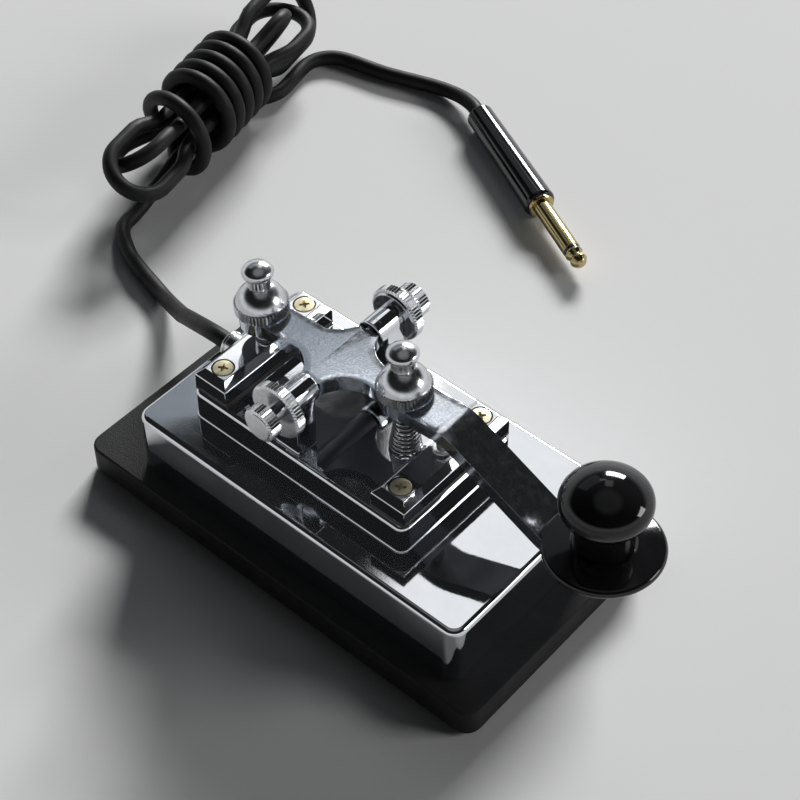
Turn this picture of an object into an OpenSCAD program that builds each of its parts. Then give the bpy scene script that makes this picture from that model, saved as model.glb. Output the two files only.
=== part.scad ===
// Straight telegraph key on a weighted base, with its practice cord and plug.
// X runs forward to the knob, Y to the far side, Z up.
// The origin is the middle of the underside of the base pad.

/* [Base] */
// Length of the base plate
base_l = 150; // [140:1:180]
// Width of the base plate
base_w = 82; // [76:1:110]
// Thickness of the base plate
base_t = 9.5; // [7:0.5:16]
// Corner radius of the base plate
base_r = 5; // [4:0.5:14]
// Rounding of the top edge of the base plate
base_edge = 0.8; // [0.5:0.1:2]
// Thickness of the rubber pad under the base
pad_t = 1.5; // [1:0.1:4]
// Distance of the pad's edge inside the base plate
pad_inset = 1.5; // [0.5:0.1:4]

/* [Body casting] */
// Length of the body
body_l = 121.5; // [112:0.5:136]
// Width of the body
body_w = 71; // [66:0.5:75]
// Height of the body above the base plate
body_h = 22.4; // [18:0.1:32]
// Corner radius of the body
body_r = 4.5; // [3:0.1:9]
// Rounding of the rim of the body
body_edge = 1.8; // [0.8:0.1:2.5]
// Distance of the body's middle in front of the base's middle
body_shift = 4; // [0:0.5:6]
// Distance from the rear end of the body to the raised plinth
rear_step = 12.85; // [11:0.05:16]
// Distance from the front end of the body to the raised plinth
front_step = 28.65; // [26:0.05:30]
// Width of the raised plinth
plinth_w = 47.7; // [47:0.1:60]
// Height of the plinth above the body
plinth_h = 10.3; // [9:0.1:16]
// Corner radius of the plinth
plinth_r = 3; // [2.2:0.1:5]
// Rounding of the rim of the plinth
plinth_edge = 1.4; // [0.6:0.1:2]
// Thickness of the side walls of the casting
wall = 4; // [3:0.1:6]
// Thickness of the ribs and of the roof between the pockets
rib = 4; // [3:0.1:6]
// Number of pockets in each row
pockets = 6; // [4:1:8]
// Width of the wiring slot along the middle
slot_w = 16; // [14:0.5:20]
// Thickness of the plinth's roof above the wiring slot
slot_roof = 5.5; // [5:0.1:7]

/* [Contact bars] */
// Length of a contact bar
bar_l = 45.4; // [42:0.1:47]
// Width of a contact bar
bar_w = 12; // [10:0.1:14]
// Height of a contact bar
bar_h = 7; // [6:0.1:10]
// Chamfer round the top of a contact bar
bar_chamfer = 2.1; // [0.8:0.1:2.5]
// Thickness of the insulating strip under a bar
strip_t = 1; // [0.6:0.1:2]
// Distance of a bar from the end of the plinth
bar_inset = 0.6; // [0.2:0.1:2]
// Distance between the two screws of a bar
bar_screw_gap = 34; // [30:0.5:36]
// Head diameter of a bar screw
bar_head_d = 6.2; // [5.4:0.1:6.6]
// Shank diameter of a bar screw
bar_screw_d = 3; // [2.5:0.1:3.5]
// Depth of a bar screw below the plinth's top
bar_screw_bite = 8; // [5:0.5:9]
// Diameter of a contact anvil
anvil_d = 5.2; // [4:0.1:7]
// Height of a contact anvil above its bar
anvil_h = 1.2; // [0.8:0.1:2]

/* [Pivot] */
// Distance of the pivot axis in front of the base's middle
pivot_x = -7.7; // [-10:0.1:-4]
// Height of the pivot axis above the plinth
pivot_h = 18.3; // [17.5:0.1:20]
// Distance of the inner face of a post from the middle plane
post_in = 15; // [14.7:0.1:16]
// Thickness of a post
post_t = 7.4; // [6.5:0.1:8]
// Width of a post and diameter of its round top
post_w = 9; // [8:0.1:11]
// Length of the round boss on the inner face of a post
boss_l = 2.2; // [1:0.1:2.4]
// Shank diameter of a pivot screw
pivot_d = 4.9; // [4:0.1:5.5]
// Journal diameter at the tip of a pivot screw
journal_d = 3.2; // [2.4:0.1:3.6]
// Length of the journal inside the lever
journal_l = 4.2; // [3:0.1:6]
// Head diameter of a pivot screw
pivot_head_d = 10.6; // [8:0.1:12]
// Head length of a pivot screw
pivot_head_l = 4.5; // [3:0.1:6]
// Diameter of a pivot lock nut
pivot_nut_d = 17.4; // [14:0.1:18]
// Thickness of a pivot lock nut
pivot_nut_t = 4; // [3:0.1:6]

/* [Lever] */
// Rest angle of the lever in degrees, front up, as the gap screw sets it
lever_tilt = 3.8; // [2:0.1:4.5]
// Thickness of the lever
lever_t = 4.6; // [3.5:0.1:5.5]
// Height of the lever's top face above the pivot axis
lever_rise = 2.5; // [2.3:0.1:3.2]
// Radius of the pivot barrel under the star
hub_r = 3.8; // [3:0.1:4.4]
// Reach of the star's side points from the middle plane
ear_reach = 12.2; // [11.6:0.1:12.6]
// Radius of the hollow sides of the star towards the rear
rear_hollow_r = 12; // [11:0.1:12.5]
// Radius of the hollow sides of the star towards the front
front_hollow_r = 11; // [10:0.1:11.5]
// Width of the neck behind the star
neck_w = 10.8; // [10:0.1:12]
// Radius of the round bosses at the two vertical screws
lug_r = 7; // [6:0.1:8]
// Width of the arm
arm_w = 12.5; // [10:0.1:15]
// Distance from the edge of the contact pin to the start of the bend
bend_past = 0.1; // [0.1:0.1:4]
// Drop of the arm from the star to the knob
arm_drop = 18.9; // [15:0.1:20]
// Slope of the arm between its two bends
arm_slope = 29; // [20:1:35]
// Outer radius of the bends
bend_r = 14; // [9:0.5:18]
// Open gap of the front contact at rest
contact_gap = 0.6; // [0.3:0.05:0.8]
// Diameter of the contact pin under the lever
contact_d = 4; // [3.5:0.1:5]

/* [Adjusting screws] */
// Place of the tension screw, as a share of the way from the pivot to the front bar
tension_share = 0.645; // [0.6:0.005:0.66]
// Shank diameter of the gap screw and of the tension screw
adjust_d = 5.9; // [5:0.1:6.4]
// Diameter of a lock nut
nut_d = 16; // [14:0.1:17]
// Height of a lock nut's knurled rim
nut_rim = 3.8; // [2.5:0.1:5]
// Height of the dome on a lock nut
nut_dome = 5.7; // [4:0.1:6.5]
// Diameter of a screw's domed head
head_d = 9.3; // [8:0.1:10]
// Diameter of the knurled neck under a domed head
neck_d = 6.8; // [6.6:0.1:8]
// Length of the neck on the gap screw
gap_neck = 3.3; // [2:0.1:6]
// Length of the neck on the tension screw
tension_neck = 3.3; // [2:0.1:6]
// Teeth round a lock nut
teeth = 36; // [24:2:48]
// Depth of the knurl
knurl = 0.35; // [0.2:0.05:0.6]

/* [Return spring] */
// Outer diameter at the top of the spring
spring_top_d = 5.8; // [5.4:0.1:6.4]
// Outer diameter at the foot of the spring
spring_foot_d = 9.8; // [8:0.1:12]
// Diameter of the spring wire
wire_d = 1; // [0.8:0.05:1.1]
// Number of turns
spring_turns = 7; // [5:0.5:8]
// Height of the spring
spring_h = 15.4; // [14:0.1:16.5]

/* [Knob] */
// Distance from the pivot axis to the knob's axis
knob_reach = 91.5; // [88:0.5:100]
// Diameter of the knob's ball
ball_d = 25; // [22:0.1:30]
// Radius of the ball's rounded edge
ball_edge = 5.5; // [4:0.1:7]
// Radius of the ball's top
ball_top_r = 16; // [14:0.5:24]
// Diameter of the knob's neck
knob_neck_d = 16; // [13:0.1:18]
// Length of the knob's neck
knob_neck_l = 9.5; // [6:0.1:14]
// Diameter of the skirt
skirt_d = 33.2; // [28:0.1:40]
// Thickness of the skirt's rim
rim_t = 2.8; // [2:0.1:4]
// Height of the skirt's rim above the arm
skirt_lift = 1.9; // [1.5:0.1:4]
// Rise of the skirt's top face from its rim to the neck
skirt_rise = 1.4; // [0.6:0.1:3]
// Shank diameter of the knob screw
knob_screw_d = 4.9; // [4:0.1:5.5]

/* [Cord and plug] */
// Diameter of the cord
cord_d = 5.4; // [4.8:0.1:5.6]
// Outer diameter of the cord gland
gland_d = 9.6; // [8.6:0.1:10.4]
// Length of the gland outside the plinth
gland_l = 8.4; // [6:0.1:10]
// Loops in the hank
hank_loops = 3; // [3:1:3]
// Turns wound round the hank
hank_turns = 6; // [5:1:6]
// Length of the plug's barrel
barrel_l = 53; // [45:0.5:60]
// Diameter of the barrel at its mouth
barrel_d = 11.4; // [10.6:0.1:12.4]
// Diameter of the barrel at its tail
tail_d = 9.8; // [8:0.1:10.4]
// Diameter of the plug's shaft
plug_d = 6.35; // [6.2:0.01:6.4]
// Length of the plug's shaft outside the barrel
plug_l = 32.6; // [29:0.1:34]

/* [Hidden] */
$fn = 48;

// Radial clearance of every shaft in its hole
fit = 0.05;
// Clearance between faces that move past each other
face = 0.05;
// Extra length of a cutting tool past a face
past = 1;
// Distance of a round face inside the valleys of a knurl
inside = 0.15;

// The plinth keeps its distance from the two ends of the body
plinth_l = body_l - rear_step - front_step;
plinth_shift = body_shift + (rear_step - front_step) / 2;

// Heights of the main faces
base_z = pad_t;
body_z = base_z + base_t;
deck_z = body_z + body_h;
plinth_z = deck_z + plinth_h;
bar_z = plinth_z + strip_t;
bar_top = bar_z + bar_h;
anvil_top = bar_top + anvil_h;
slot_z = plinth_z - slot_roof;
pocket_z = deck_z - rib;
pivot_z = plinth_z + pivot_h;
lever_top = pivot_z + lever_rise;
lever_low = lever_top - lever_t;
arm_top = lever_top - arm_drop;
arm_low = arm_top - lever_t;

// Places along the key
rear_bar_x = plinth_shift - plinth_l / 2 + bar_inset + bar_w / 2;
front_bar_x = plinth_shift + plinth_l / 2 - bar_inset - bar_w / 2;
gap_x = rear_bar_x;
tension_x = min(
    pivot_x + tension_share * (front_bar_x - pivot_x),
    front_bar_x - bar_w / 2 - spring_foot_d / 2 - 2
);
bend_x = front_bar_x + contact_d / 2 + bend_past;
knob_x = pivot_x + knob_reach;
plinth_rear = plinth_shift - plinth_l / 2;
slot_rear = plinth_rear + wall + 2;

// Screws that hold the body to the base
body_screw_d = 4;
body_head_d = 7.6;
body_head_t = 2.4;
body_screw_bite = 12;
body_screw_inset = 9.5;
body_screw_x = body_l / 2 - body_screw_inset;
body_screw_y = body_w / 2 - body_screw_inset;
boss_r = 5;

// Screws that hold the posts
post_out = post_in + post_t;
post_mid = post_in + post_t / 2;
post_screw_d = 4;
post_head_d = 7;
post_head_t = 2.8;
post_screw_bite = 5;

// Stud, bush and tags of the front contact, and the earth screw
stud_d = 3.5;
bush_d = 6;
flange_d = 8;
flange_t = 1;
slot_front = front_bar_x + flange_d / 2 + 0.4;
tag_t = 0.6;
tag_d = 7;
tag_l = 9;
tag_w = 3;
hex_d = 6.4;
hex_t = 2.5;
stud_end = 0.9;
ground_x = (slot_rear + tension_x) / 2;
ground_d = 3;
ground_bite = 4;
ground_head_t = 2;
lead_d = 1.6;

// Pivot screws, measured outward from the middle plane
journal_in = ear_reach - journal_l;
shoulder = ear_reach + 2 * face;
nut_in = post_out + face;
nut_out = nut_in + pivot_nut_t;
head_in = nut_out + 2.4;
head_out = head_in + pivot_head_l;

// Vertical screws
nut_z = lever_top + face;
nut_bore = adjust_d / 2 + fit;
dome_seat = nut_dome_z(nut_bore) + 3 * fit;
head_edge = 1.7;
head_top_r = 6.4;
pilot_d = spring_top_d - 2 * wire_d - 0.3;
pilot_l = 2;
spring_top = plinth_z + spring_h + 2 * face;
gap_low = level_z(gap_x, anvil_top + face + adjust_d / 2 * sin(lever_tilt));
tension_low = level_z(tension_x, spring_top + adjust_d / 2 * sin(lever_tilt));
contact_low = level_z(front_bar_x, anvil_top + contact_gap + contact_d / 2 * sin(lever_tilt));
spring_x = rest_x(tension_x, tension_low - pilot_l / 2);

// Knob
skirt_z = arm_top + skirt_lift;
seat_z = skirt_z + rim_t + skirt_rise;
hub_d = knob_neck_d;
ball_z = seat_z + knob_neck_l + ball_edge;
knob_head_d = 8.4;
knob_head_t = 2.6;
knob_bite = knob_neck_l + 2;
tip_r = 7;
bend_steps = 8;

// Gland and cord
gland_z = deck_z + gland_d / 2 + 2 * fit;
gland_face = plinth_rear - gland_l;
gland_tail_d = gland_d - 2;
gland_flange_t = 1.6;
gland_lip = 1;
gland_bore_d = 2 * lead_d + 0.8;
cord_r = cord_d / 2;
cord_sides = 8;
floor_gap = 0.05;
cord_z = cord_r + floor_gap;

// Hank, along its own axis from the middle
hank_mid = [-158.1, 93.9];
hank_turn = 102.5;
hank_core_r = 7.2;
hank_end_r = 12;
hank_wrap_r = hank_core_r + cord_d + 0.9;
hank_z = hank_wrap_r + cord_r + floor_gap;
hank_phase = -60;
hank_top = 70;
hank_low = -56;
hank_step = cord_d + 3.2;
hank_bow = 11;
waist_low = -20;
waist_high = 28;
flare = 15;
hank_entry = [-50, 1.5];
hank_entry_end = waist_low;
hank_last_run = waist_low + 14;
hank_dive = 16;
hank_swing = 80;
hank_ramp = 16;
hank_pitch = cord_d + 0.8;
hank_exit_r = 11.5;
hank_exit = 42;
run_rings = 12;
bow_rings = 10;
loop_rings = 24;

// Route of the cord from the gland to the hank, between its two ends
key_route = [
    [-64.6, 1.7, 35.4], [-72.4, 4.5, 30.7], [-79.5, 8.1, 24.9], [-86.3, 12, 18.6], [-93, 16.2, 12.6],
    [-100.2, 20.1, 7.4], [-108.3, 23.6, 3.8], [-116, 26, 2.8], [-124.1, 28.1, 2.8], [-131.5, 30.5, 2.8],
    [-138, 33.9, 2.8], [-142, 36.7, 2.8]
];
// Route of the cord from the hank to the plug, between its two ends
plug_route = [
    [-157.7, 147.2, 2.8], [-156.6, 152, 2.8], [-154, 155.6, 2.8], [-150.3, 158, 2.8], [-145.7, 159.4, 2.8],
    [-140.7, 160.4, 2.8], [-133, 161.9, 2.8], [-125.9, 164.1, 2.8], [-119, 166.5, 2.8], [-112.1, 168.4, 3],
    [-106.5, 168.9, 3.6], [-100, 168.4, 4.6]
];
plug_at = [-88.5, 163.8];
plug_turn = -27;
plug_z = barrel_d / 2 + floor_gap;
collar_d = barrel_d - 2;
collar_out = 1.2;
collar_in = 4;
sleeve_in = 10;
stem_d = plug_d - 1;
ring_step = 0.5;
ring_t = 1.3;
tip_l = 6.6;

// Eases a share from 0 to 1 with level ends
function ease(u) = let (c = max(0, min(1, u))) c * c * (3 - 2 * c);

// Unit vector
function unit(v) = v / norm(v);

// Height of the dome of a lock nut at a radius
function nut_dome_z(r) =
    let (base = nut_d / 2 - knurl - inside, top = (base * base + nut_dome * nut_dome) / (2 * nut_dome))
    nut_z + nut_rim + sqrt(top * top - r * r) - (top - nut_dome);

// Outline of a straight knurl
function knurl_points(r, n) = [
    for (i = [0 : 2 * n - 1]) (r - knurl * (i % 2)) * [cos(180 * i / n), sin(180 * i / n)]
];

// Direction of a route at each of its points
function headings(p) = [
    for (i = [0 : len(p) - 1]) unit(p[min(i + 1, len(p) - 1)] - p[max(i - 1, 0)])
];

// Side direction that is carried along a route without twist
function carried(t) = [
    for (i = 0, n = unit(cross(t[0], [0.31, 0.17, 0.93]));
         i < len(t);
         i = i + 1, n = i < len(t) ? unit(n - (n * t[i]) * t[i]) : n) n
];

// Distance of a point from a short straight piece
function from_piece(p, a, b) =
    let (v = b - a, u = max(0, min(1, (p - a) * v / (v * v)))) norm(p - a - u * v);

// Least gap between the surface of a tube and itself, measured on its points
function least_gap(p, d, skip) = min([
    for (i = [0 : len(p) - 1], j = [0 : len(p) - 2])
        if (abs(i - j) > skip && abs(i - j - 1) > skip) from_piece(p[i], p[j], p[j + 1]) - d
]);

// Length of a route
function route_length(p) = len(p) < 2 ? 0 : [
    for (i = 0, s = 0; i < len(p); i = i + 1, s = i < len(p) ? s + norm(p[i] - p[i - 1]) : s) s
][len(p) - 1];

// Radius of the hank's runs along its axis
function hank_r(a) = hank_core_r + (hank_end_r - hank_core_r) * (
    a > waist_high ? ease((a - waist_high) / flare) : ease((waist_low - a) / flare)
);

// Point of the hank from its distance along the axis, its radius and its angle
function hank_at(a, r, q) = [a, r * cos(q), r * sin(q)];

function run_angle(k) = hank_phase + 180 * k + 180 / hank_loops * floor(k / 2);
function run_start(k) =
    k == 0 ? hank_entry_end
    : k % 2 == 1 ? hank_top - hank_step * (k - 1) / 2 - hank_bow
    : hank_low + hank_step * (k / 2 - 1) + hank_bow;
function run_end(k) =
    k == 2 * hank_loops - 1 ? hank_last_run : run_start(k + 1);

// Where the cord comes in under the lower loops
hank_in = [
    for (i = [0 : 9])
        let (u = i / 10, w = ease(u), end = hank_at(0, hank_core_r, run_angle(0)))
        [
            hank_entry[0] + (hank_entry_end - hank_entry[0]) * u,
            hank_entry[1] + (end[1] - hank_entry[1]) * w,
            -hank_wrap_r + (end[2] + hank_wrap_r) * w
        ]
];

// Straight runs and the flat bows that join them
function run_point(k, a) = hank_at(a, hank_r(a), run_angle(k));
hank_runs = [
    for (k = [0 : 2 * hank_loops - 1])
        let (
            a = run_start(k), b = run_end(k), last = k == 2 * hank_loops - 1,
            side = k % 2 == 0 ? 1 : -1,
            from = run_point(k, b), to = run_point(k + 1, b)
        )
        for (i = [0 : run_rings + (last ? 0 : bow_rings) - 1])
            let (t = (i - run_rings) * 180 / bow_rings)
            i < run_rings ? run_point(k, a + (b - a) * i / run_rings)
            : (from + to) / 2 + (from - to) / 2 * cos(t) + [side * hank_bow * sin(t), 0, 0]
];

// The last run leaves the bundle and swings round into the turns
swing_from = run_angle(2 * hank_loops - 1);
hank_swing_out = [
    for (i = [0 : 9])
        let (u = i / 10)
        hank_at(
            hank_last_run - hank_dive * (1 - pow(1 - u, 2)),
            hank_core_r + (hank_wrap_r - hank_core_r) * ease(u),
            swing_from + hank_swing * u * u
        )
];

// Turns round the bundle, the first one a long ramp
wind_from = swing_from + hank_swing;
wind_all = 360 * hank_turns - ((wind_from + 90) % 360);
wind_low = hank_last_run - hank_dive;
wind_steps = round(wind_all * loop_rings / 360);
function wind_rise(t) = t < 1 ? hank_ramp * t * t * (2 - t) : hank_ramp + hank_pitch * (t - 1);
hank_wind = [
    for (i = [0 : wind_steps])
        let (q = wind_all * i / wind_steps)
        hank_at(wind_low + wind_rise(q / 360), hank_wrap_r, wind_from + q)
];

// The cord leaves on the floor and turns along the bundle
wind_top = wind_low + wind_rise(wind_all / 360);
hank_out = [
    for (t = [15 : 15 : 90])
        [wind_top + hank_exit_r * (1 - cos(t)), hank_exit_r * sin(t), -hank_wrap_r],
    [hank_exit, hank_exit_r, -hank_wrap_r]
];

hank_axis = [cos(hank_turn), sin(hank_turn), 0];
hank_side = [sin(hank_turn), -cos(hank_turn), 0];
function hank_place(h) =
    [hank_mid[0], hank_mid[1], hank_z] + h[0] * hank_axis + h[1] * hank_side + [0, 0, h[2]];
hank_points = [
    for (h = concat(hank_in, hank_runs, hank_swing_out, hank_wind, hank_out)) hank_place(h)
];
hank_first = hank_points[0];
hank_last = hank_points[len(hank_points) - 1];

plug_dir = [cos(plug_turn), sin(plug_turn), 0];
plug_tail = [plug_at[0], plug_at[1], plug_z];
key_points = concat(
    [[gland_face, 0, gland_z], [gland_face - cord_d, 0, gland_z]],
    key_route,
    [hank_first - cord_d * hank_axis, hank_first]
);
plug_points = concat(
    [hank_last, hank_last + cord_d * hank_axis],
    plug_route,
    [plug_tail - cord_d * plug_dir, plug_tail]
);

// Spring wire, from the foot to the top
spring_steps = round(spring_turns * 8);
spring_points = [
    for (i = [0 : spring_steps])
        let (
            u = i / spring_steps,
            r = (spring_foot_d + (spring_top_d - spring_foot_d) * u - wire_d) / 2,
            q = 360 * spring_turns * u
        )
        [r * cos(q), r * sin(q), wire_d / 2 + face + (spring_h - wire_d) * u]
];

// Tube swept along points, with flat ends
module tube(points, d, sides) {
    dirs = headings(points);
    outs = carried(dirs);
    last = len(points) - 1;
    rings = [
        for (i = [0 : last], j = [0 : sides - 1])
            let (q = 360 * j / sides, up = cross(dirs[i], outs[i]))
            points[i] + d / 2 * (cos(q) * outs[i] + sin(q) * up)
    ];
    skin = [
        for (i = [0 : last - 1], j = [0 : sides - 1], half = [0, 1])
            let (a = i * sides + j, b = i * sides + (j + 1) % sides)
            half == 0 ? [a, a + sides, b] : [b, a + sides, b + sides]
    ];
    first_cap = [for (j = [1 : sides - 2]) [0, j, j + 1]];
    last_cap = [for (j = [1 : sides - 2]) [last * sides, last * sides + j + 1, last * sides + j]];
    polyhedron(rings, concat(skin, first_cap, last_cap));
}

// Rectangle with round corners
module round_rect(l, w, r) {
    square([l - 2 * r, w], center = true);
    square([l, w - 2 * r], center = true);
    for (x = [-1, 1], y = [-1, 1]) {
        translate([x * (l / 2 - r), y * (w / 2 - r)]) circle(r);
    }
}

// Half of a section with a rounded top edge, from the middle line outward
module rim_section(half, h, edge) {
    square([half, h - edge]);
    square([half - edge, h]);
    translate([half - edge, h - edge]) circle(edge);
}

// Block with round corners and a rounded rim, standing on its lower face
module soft_block(l, w, h, r, edge) {
    for (x = [-1, 1], y = [-1, 1]) {
        translate([x * (l / 2 - r), y * (w / 2 - r), 0]) rotate_extrude() {
            rim_section(r, h, edge);
        }
    }
    for (side = [0, 180]) rotate([0, 0, side]) {
        rotate([90, 0, 0]) linear_extrude(w - 2 * r, center = true) rim_section(l / 2, h, edge);
        rotate([90, 0, 90]) linear_extrude(l - 2 * r, center = true) rim_section(w / 2, h, edge);
    }
}

// Straight cylinder from one height to another
module rod(d, z0, z1) {
    translate([0, 0, z0]) cylinder(d = d, h = z1 - z0);
}

// Right half of a flattened ball with a level underside, about its widest height
module button_section(d, edge, top_r) {
    out = d / 2 - edge;
    sink = sqrt(pow(top_r - edge, 2) - out * out);
    translate([out, 0]) circle(edge);
    translate([0, -edge]) square([out, edge]);
    intersection() {
        translate([0, -sink]) circle(top_r);
        polygon([[0, -sink], [0, top_r], [2 * top_r * out / sink, 2 * top_r - sink]]);
    }
}

// Height of a flattened ball above its widest height
function button_rise(d, edge, top_r) =
    top_r - sqrt(pow(top_r - edge, 2) - pow(d / 2 - edge, 2));

// Knurled lock nut with a domed top, standing on its lower face
module dome_nut() {
    base = nut_d / 2 - knurl - inside;
    top_r = (base * base + nut_dome * nut_dome) / (2 * nut_dome);
    difference() {
        union() {
            linear_extrude(nut_rim) polygon(knurl_points(nut_d / 2, teeth));
            translate([0, 0, nut_rim]) rotate_extrude() intersection() {
                translate([0, nut_dome - top_r]) circle(top_r);
                square([base, nut_dome]);
            }
        }
        translate([0, 0, -past]) cylinder(r = nut_bore, h = nut_rim + nut_dome + 2 * past);
    }
}

// Head, knurled neck and shank of a vertical screw, down to its end
module adjust_screw(neck_l, low_z) {
    neck_z = dome_seat;
    edge_z = neck_z + neck_l + head_edge;
    rod(adjust_d, low_z, neck_z);
    translate([0, 0, neck_z]) linear_extrude(neck_l) {
        polygon(knurl_points(neck_d / 2, teeth / 2));
    }
    translate([0, 0, edge_z]) rotate_extrude() button_section(head_d, head_edge, head_top_r);
}

// Height on the level lever of a point that is at height z when the lever is at rest
function level_z(x, z) =
    pivot_z + (z - pivot_z - (x - pivot_x) * sin(lever_tilt)) / cos(lever_tilt);

// Place along the key, at rest, of a point on the level lever
function rest_x(x, z) =
    pivot_x + (x - pivot_x) * cos(lever_tilt) - (z - pivot_z) * sin(lever_tilt);

// Turns what belongs to the level lever to its rest angle
module at_rest() {
    translate([pivot_x, 0, pivot_z]) rotate([0, -lever_tilt, 0]) {
        translate([-pivot_x, 0, -pivot_z]) children();
    }
}

// Turns a shape that stands on Z to point along +Y or -Y at the pivot axis
module on_pivot(side) {
    translate([pivot_x, 0, pivot_z]) rotate([-90 * side, 0, 0]) children();
}

module base_pad() color("#161616") {
    linear_extrude(pad_t) {
        round_rect(base_l - 2 * pad_inset, base_w - 2 * pad_inset, base_r - pad_inset);
    }
}

module base_plate() color("#1c1c1d") difference() {
    translate([0, 0, base_z]) soft_block(base_l, base_w, base_t, base_r, base_edge);
    body_screw_places() {
        rod(body_screw_d + 2 * fit, 0, body_z + past);
        rod(body_head_d + 2 * fit, 0, base_z + body_head_t + fit);
    }
}

// The four places where the body is screwed to the base
module body_screw_places() {
    for (x = [-1, 1], y = [-1, 1]) {
        translate([body_shift + x * body_screw_x, y * body_screw_y, 0]) children();
    }
}

module body_screws() color("#b9bcc0") body_screw_places() difference() {
    union() {
        rod(body_head_d, base_z, base_z + body_head_t);
        rod(body_screw_d, base_z, body_z + body_screw_bite);
    }
    rod(2.5, base_z - past, base_z + 1.4, $fn = 6);
}

// Hollows in the underside of the casting
module casting_hollows() {
    row_l = body_l - 2 * wall;
    pitch = (row_l + rib) / pockets;
    row_in = slot_w / 2 + rib;
    row_w = body_w / 2 - wall - row_in;
    for (i = [0 : pockets - 1], side = [0, 1]) mirror([0, side, 0]) {
        translate([body_shift - row_l / 2 + i * pitch, row_in, body_z - past]) {
            cube([pitch - rib, row_w, pocket_z - body_z + past]);
        }
    }
    translate([slot_rear, -slot_w / 2, body_z - past]) {
        cube([slot_front - slot_rear, slot_w, slot_z - body_z + past]);
    }
}

module body_casting() color("#c8ccd2") difference() {
    union() {
        difference() {
            union() {
                translate([body_shift, 0, body_z]) {
                    soft_block(body_l, body_w, body_h, body_r, body_edge);
                }
                translate([plinth_shift, 0, pocket_z]) {
                    soft_block(plinth_l, plinth_w, plinth_z - pocket_z, plinth_r, plinth_edge);
                }
            }
            casting_hollows();
        }
        body_screw_places() rod(2 * boss_r, body_z, pocket_z + rib / 2);
    }
    body_screw_places() rod(body_screw_d + 2 * fit, body_z - past, body_z + body_screw_bite + fit);
    for (x = [rear_bar_x, front_bar_x], y = [-1, 1]) translate([x, y * bar_screw_gap / 2, 0]) {
        rod(bar_screw_d + 2 * fit, plinth_z - bar_screw_bite - fit, plinth_z + past);
    }
    for (y = [-1, 1]) translate([pivot_x, y * post_mid, 0]) {
        rod(post_screw_d + 2 * fit, body_z - past, plinth_z + past);
        rod(post_head_d + 2 * fit, body_z - past, pocket_z + fit);
    }
    translate([front_bar_x, 0, 0]) rod(bush_d + 2 * fit, slot_z - past, plinth_z + past);
    translate([ground_x, 0, 0]) rod(ground_d + 2 * fit, slot_z - past, slot_z + ground_bite + fit);
    translate([slot_rear + past, 0, gland_z]) rotate([0, -90, 0]) {
        rod(gland_tail_d + 2 * fit, 0, slot_rear + past - plinth_rear + past);
    }
}

// Insulating strip under a bar
module bar_strip(x) {
    difference() {
        translate([x, 0, plinth_z]) linear_extrude(strip_t) {
            square([bar_w, bar_l], center = true);
        }
        for (y = [-1, 1]) translate([x, y * bar_screw_gap / 2, 0]) {
            rod(bar_screw_d + 2 * fit, plinth_z - past, bar_z + past);
        }
        translate([x, 0, 0]) rod(stud_d + 2 * fit, plinth_z - past, bar_z + past);
    }
}

// Section of a bar with its chamfers
module bar_section(w) {
    polygon([
        [-w / 2, 0], [w / 2, 0], [w / 2, bar_h - bar_chamfer], [w / 2 - bar_chamfer, bar_h],
        [-w / 2 + bar_chamfer, bar_h], [-w / 2, bar_h - bar_chamfer]
    ]);
}

// Contact bar with its countersunk screw holes and the hole of its anvil
module contact_bar(x) {
    head_h = (bar_head_d - bar_screw_d) / 2;
    difference() {
        translate([x, 0, bar_z]) intersection() {
            rotate([90, 0, 0]) linear_extrude(bar_l, center = true) bar_section(bar_w);
            rotate([90, 0, 90]) linear_extrude(bar_w, center = true) bar_section(bar_l);
        }
        for (y = [-1, 1]) translate([x, y * bar_screw_gap / 2, 0]) {
            rod(bar_screw_d + 2 * fit, bar_z - past, bar_top);
            translate([0, 0, bar_top - head_h]) {
                cylinder(d1 = bar_screw_d + 2 * fit, d2 = bar_head_d + 2 * fit, h = head_h);
            }
            rod(bar_head_d + 2 * fit, bar_top, bar_top + past);
        }
        translate([x, 0, 0]) rod(stud_d + 2 * fit, bar_z - past, bar_top + past);
    }
}

// The two countersunk screws of a bar, with cross slots
module bar_screws(x) {
    head_h = (bar_head_d - bar_screw_d) / 2;
    for (y = [-1, 1]) translate([x, y * bar_screw_gap / 2, 0]) difference() {
        union() {
            rod(bar_screw_d, plinth_z - bar_screw_bite, bar_top - head_h);
            translate([0, 0, bar_top - head_h]) {
                cylinder(d1 = bar_screw_d, d2 = bar_head_d, h = head_h);
            }
        }
        for (q = [0, 90]) rotate([0, 0, q + 20]) translate([0, 0, bar_top]) {
            cube([0.5 * bar_head_d, 0.13 * bar_head_d, head_h], center = true);
        }
    }
}

module rear_insulator() color("#26211c") bar_strip(rear_bar_x);

module front_insulator() color("#26211c") bar_strip(front_bar_x);

module rear_contact_bar() color("#cfd3d8") contact_bar(rear_bar_x);

module front_contact_bar() color("#cfd3d8") contact_bar(front_bar_x);

module rear_bar_screws() color("#d8cfae") bar_screws(rear_bar_x);

module front_bar_screws() color("#d8cfae") bar_screws(front_bar_x);

module rear_anvil() color("#d7d9dc") translate([rear_bar_x, 0, 0]) {
    rod(anvil_d, bar_top, anvil_top);
    rod(stud_d, bar_z + fit, bar_top);
}

module front_anvil() color("#d7d9dc") translate([front_bar_x, 0, 0]) {
    rod(anvil_d, bar_top, anvil_top);
    rod(stud_d, slot_z - flange_t - tag_t - hex_t - stud_end, bar_top);
}

module front_bush() color("#e6e1d2") translate([front_bar_x, 0, 0]) difference() {
    union() {
        rod(bush_d, slot_z, plinth_z);
        rod(flange_d, slot_z - flange_t, slot_z);
    }
    rod(stud_d + 2 * fit, slot_z - flange_t - past, plinth_z + past);
}

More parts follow.
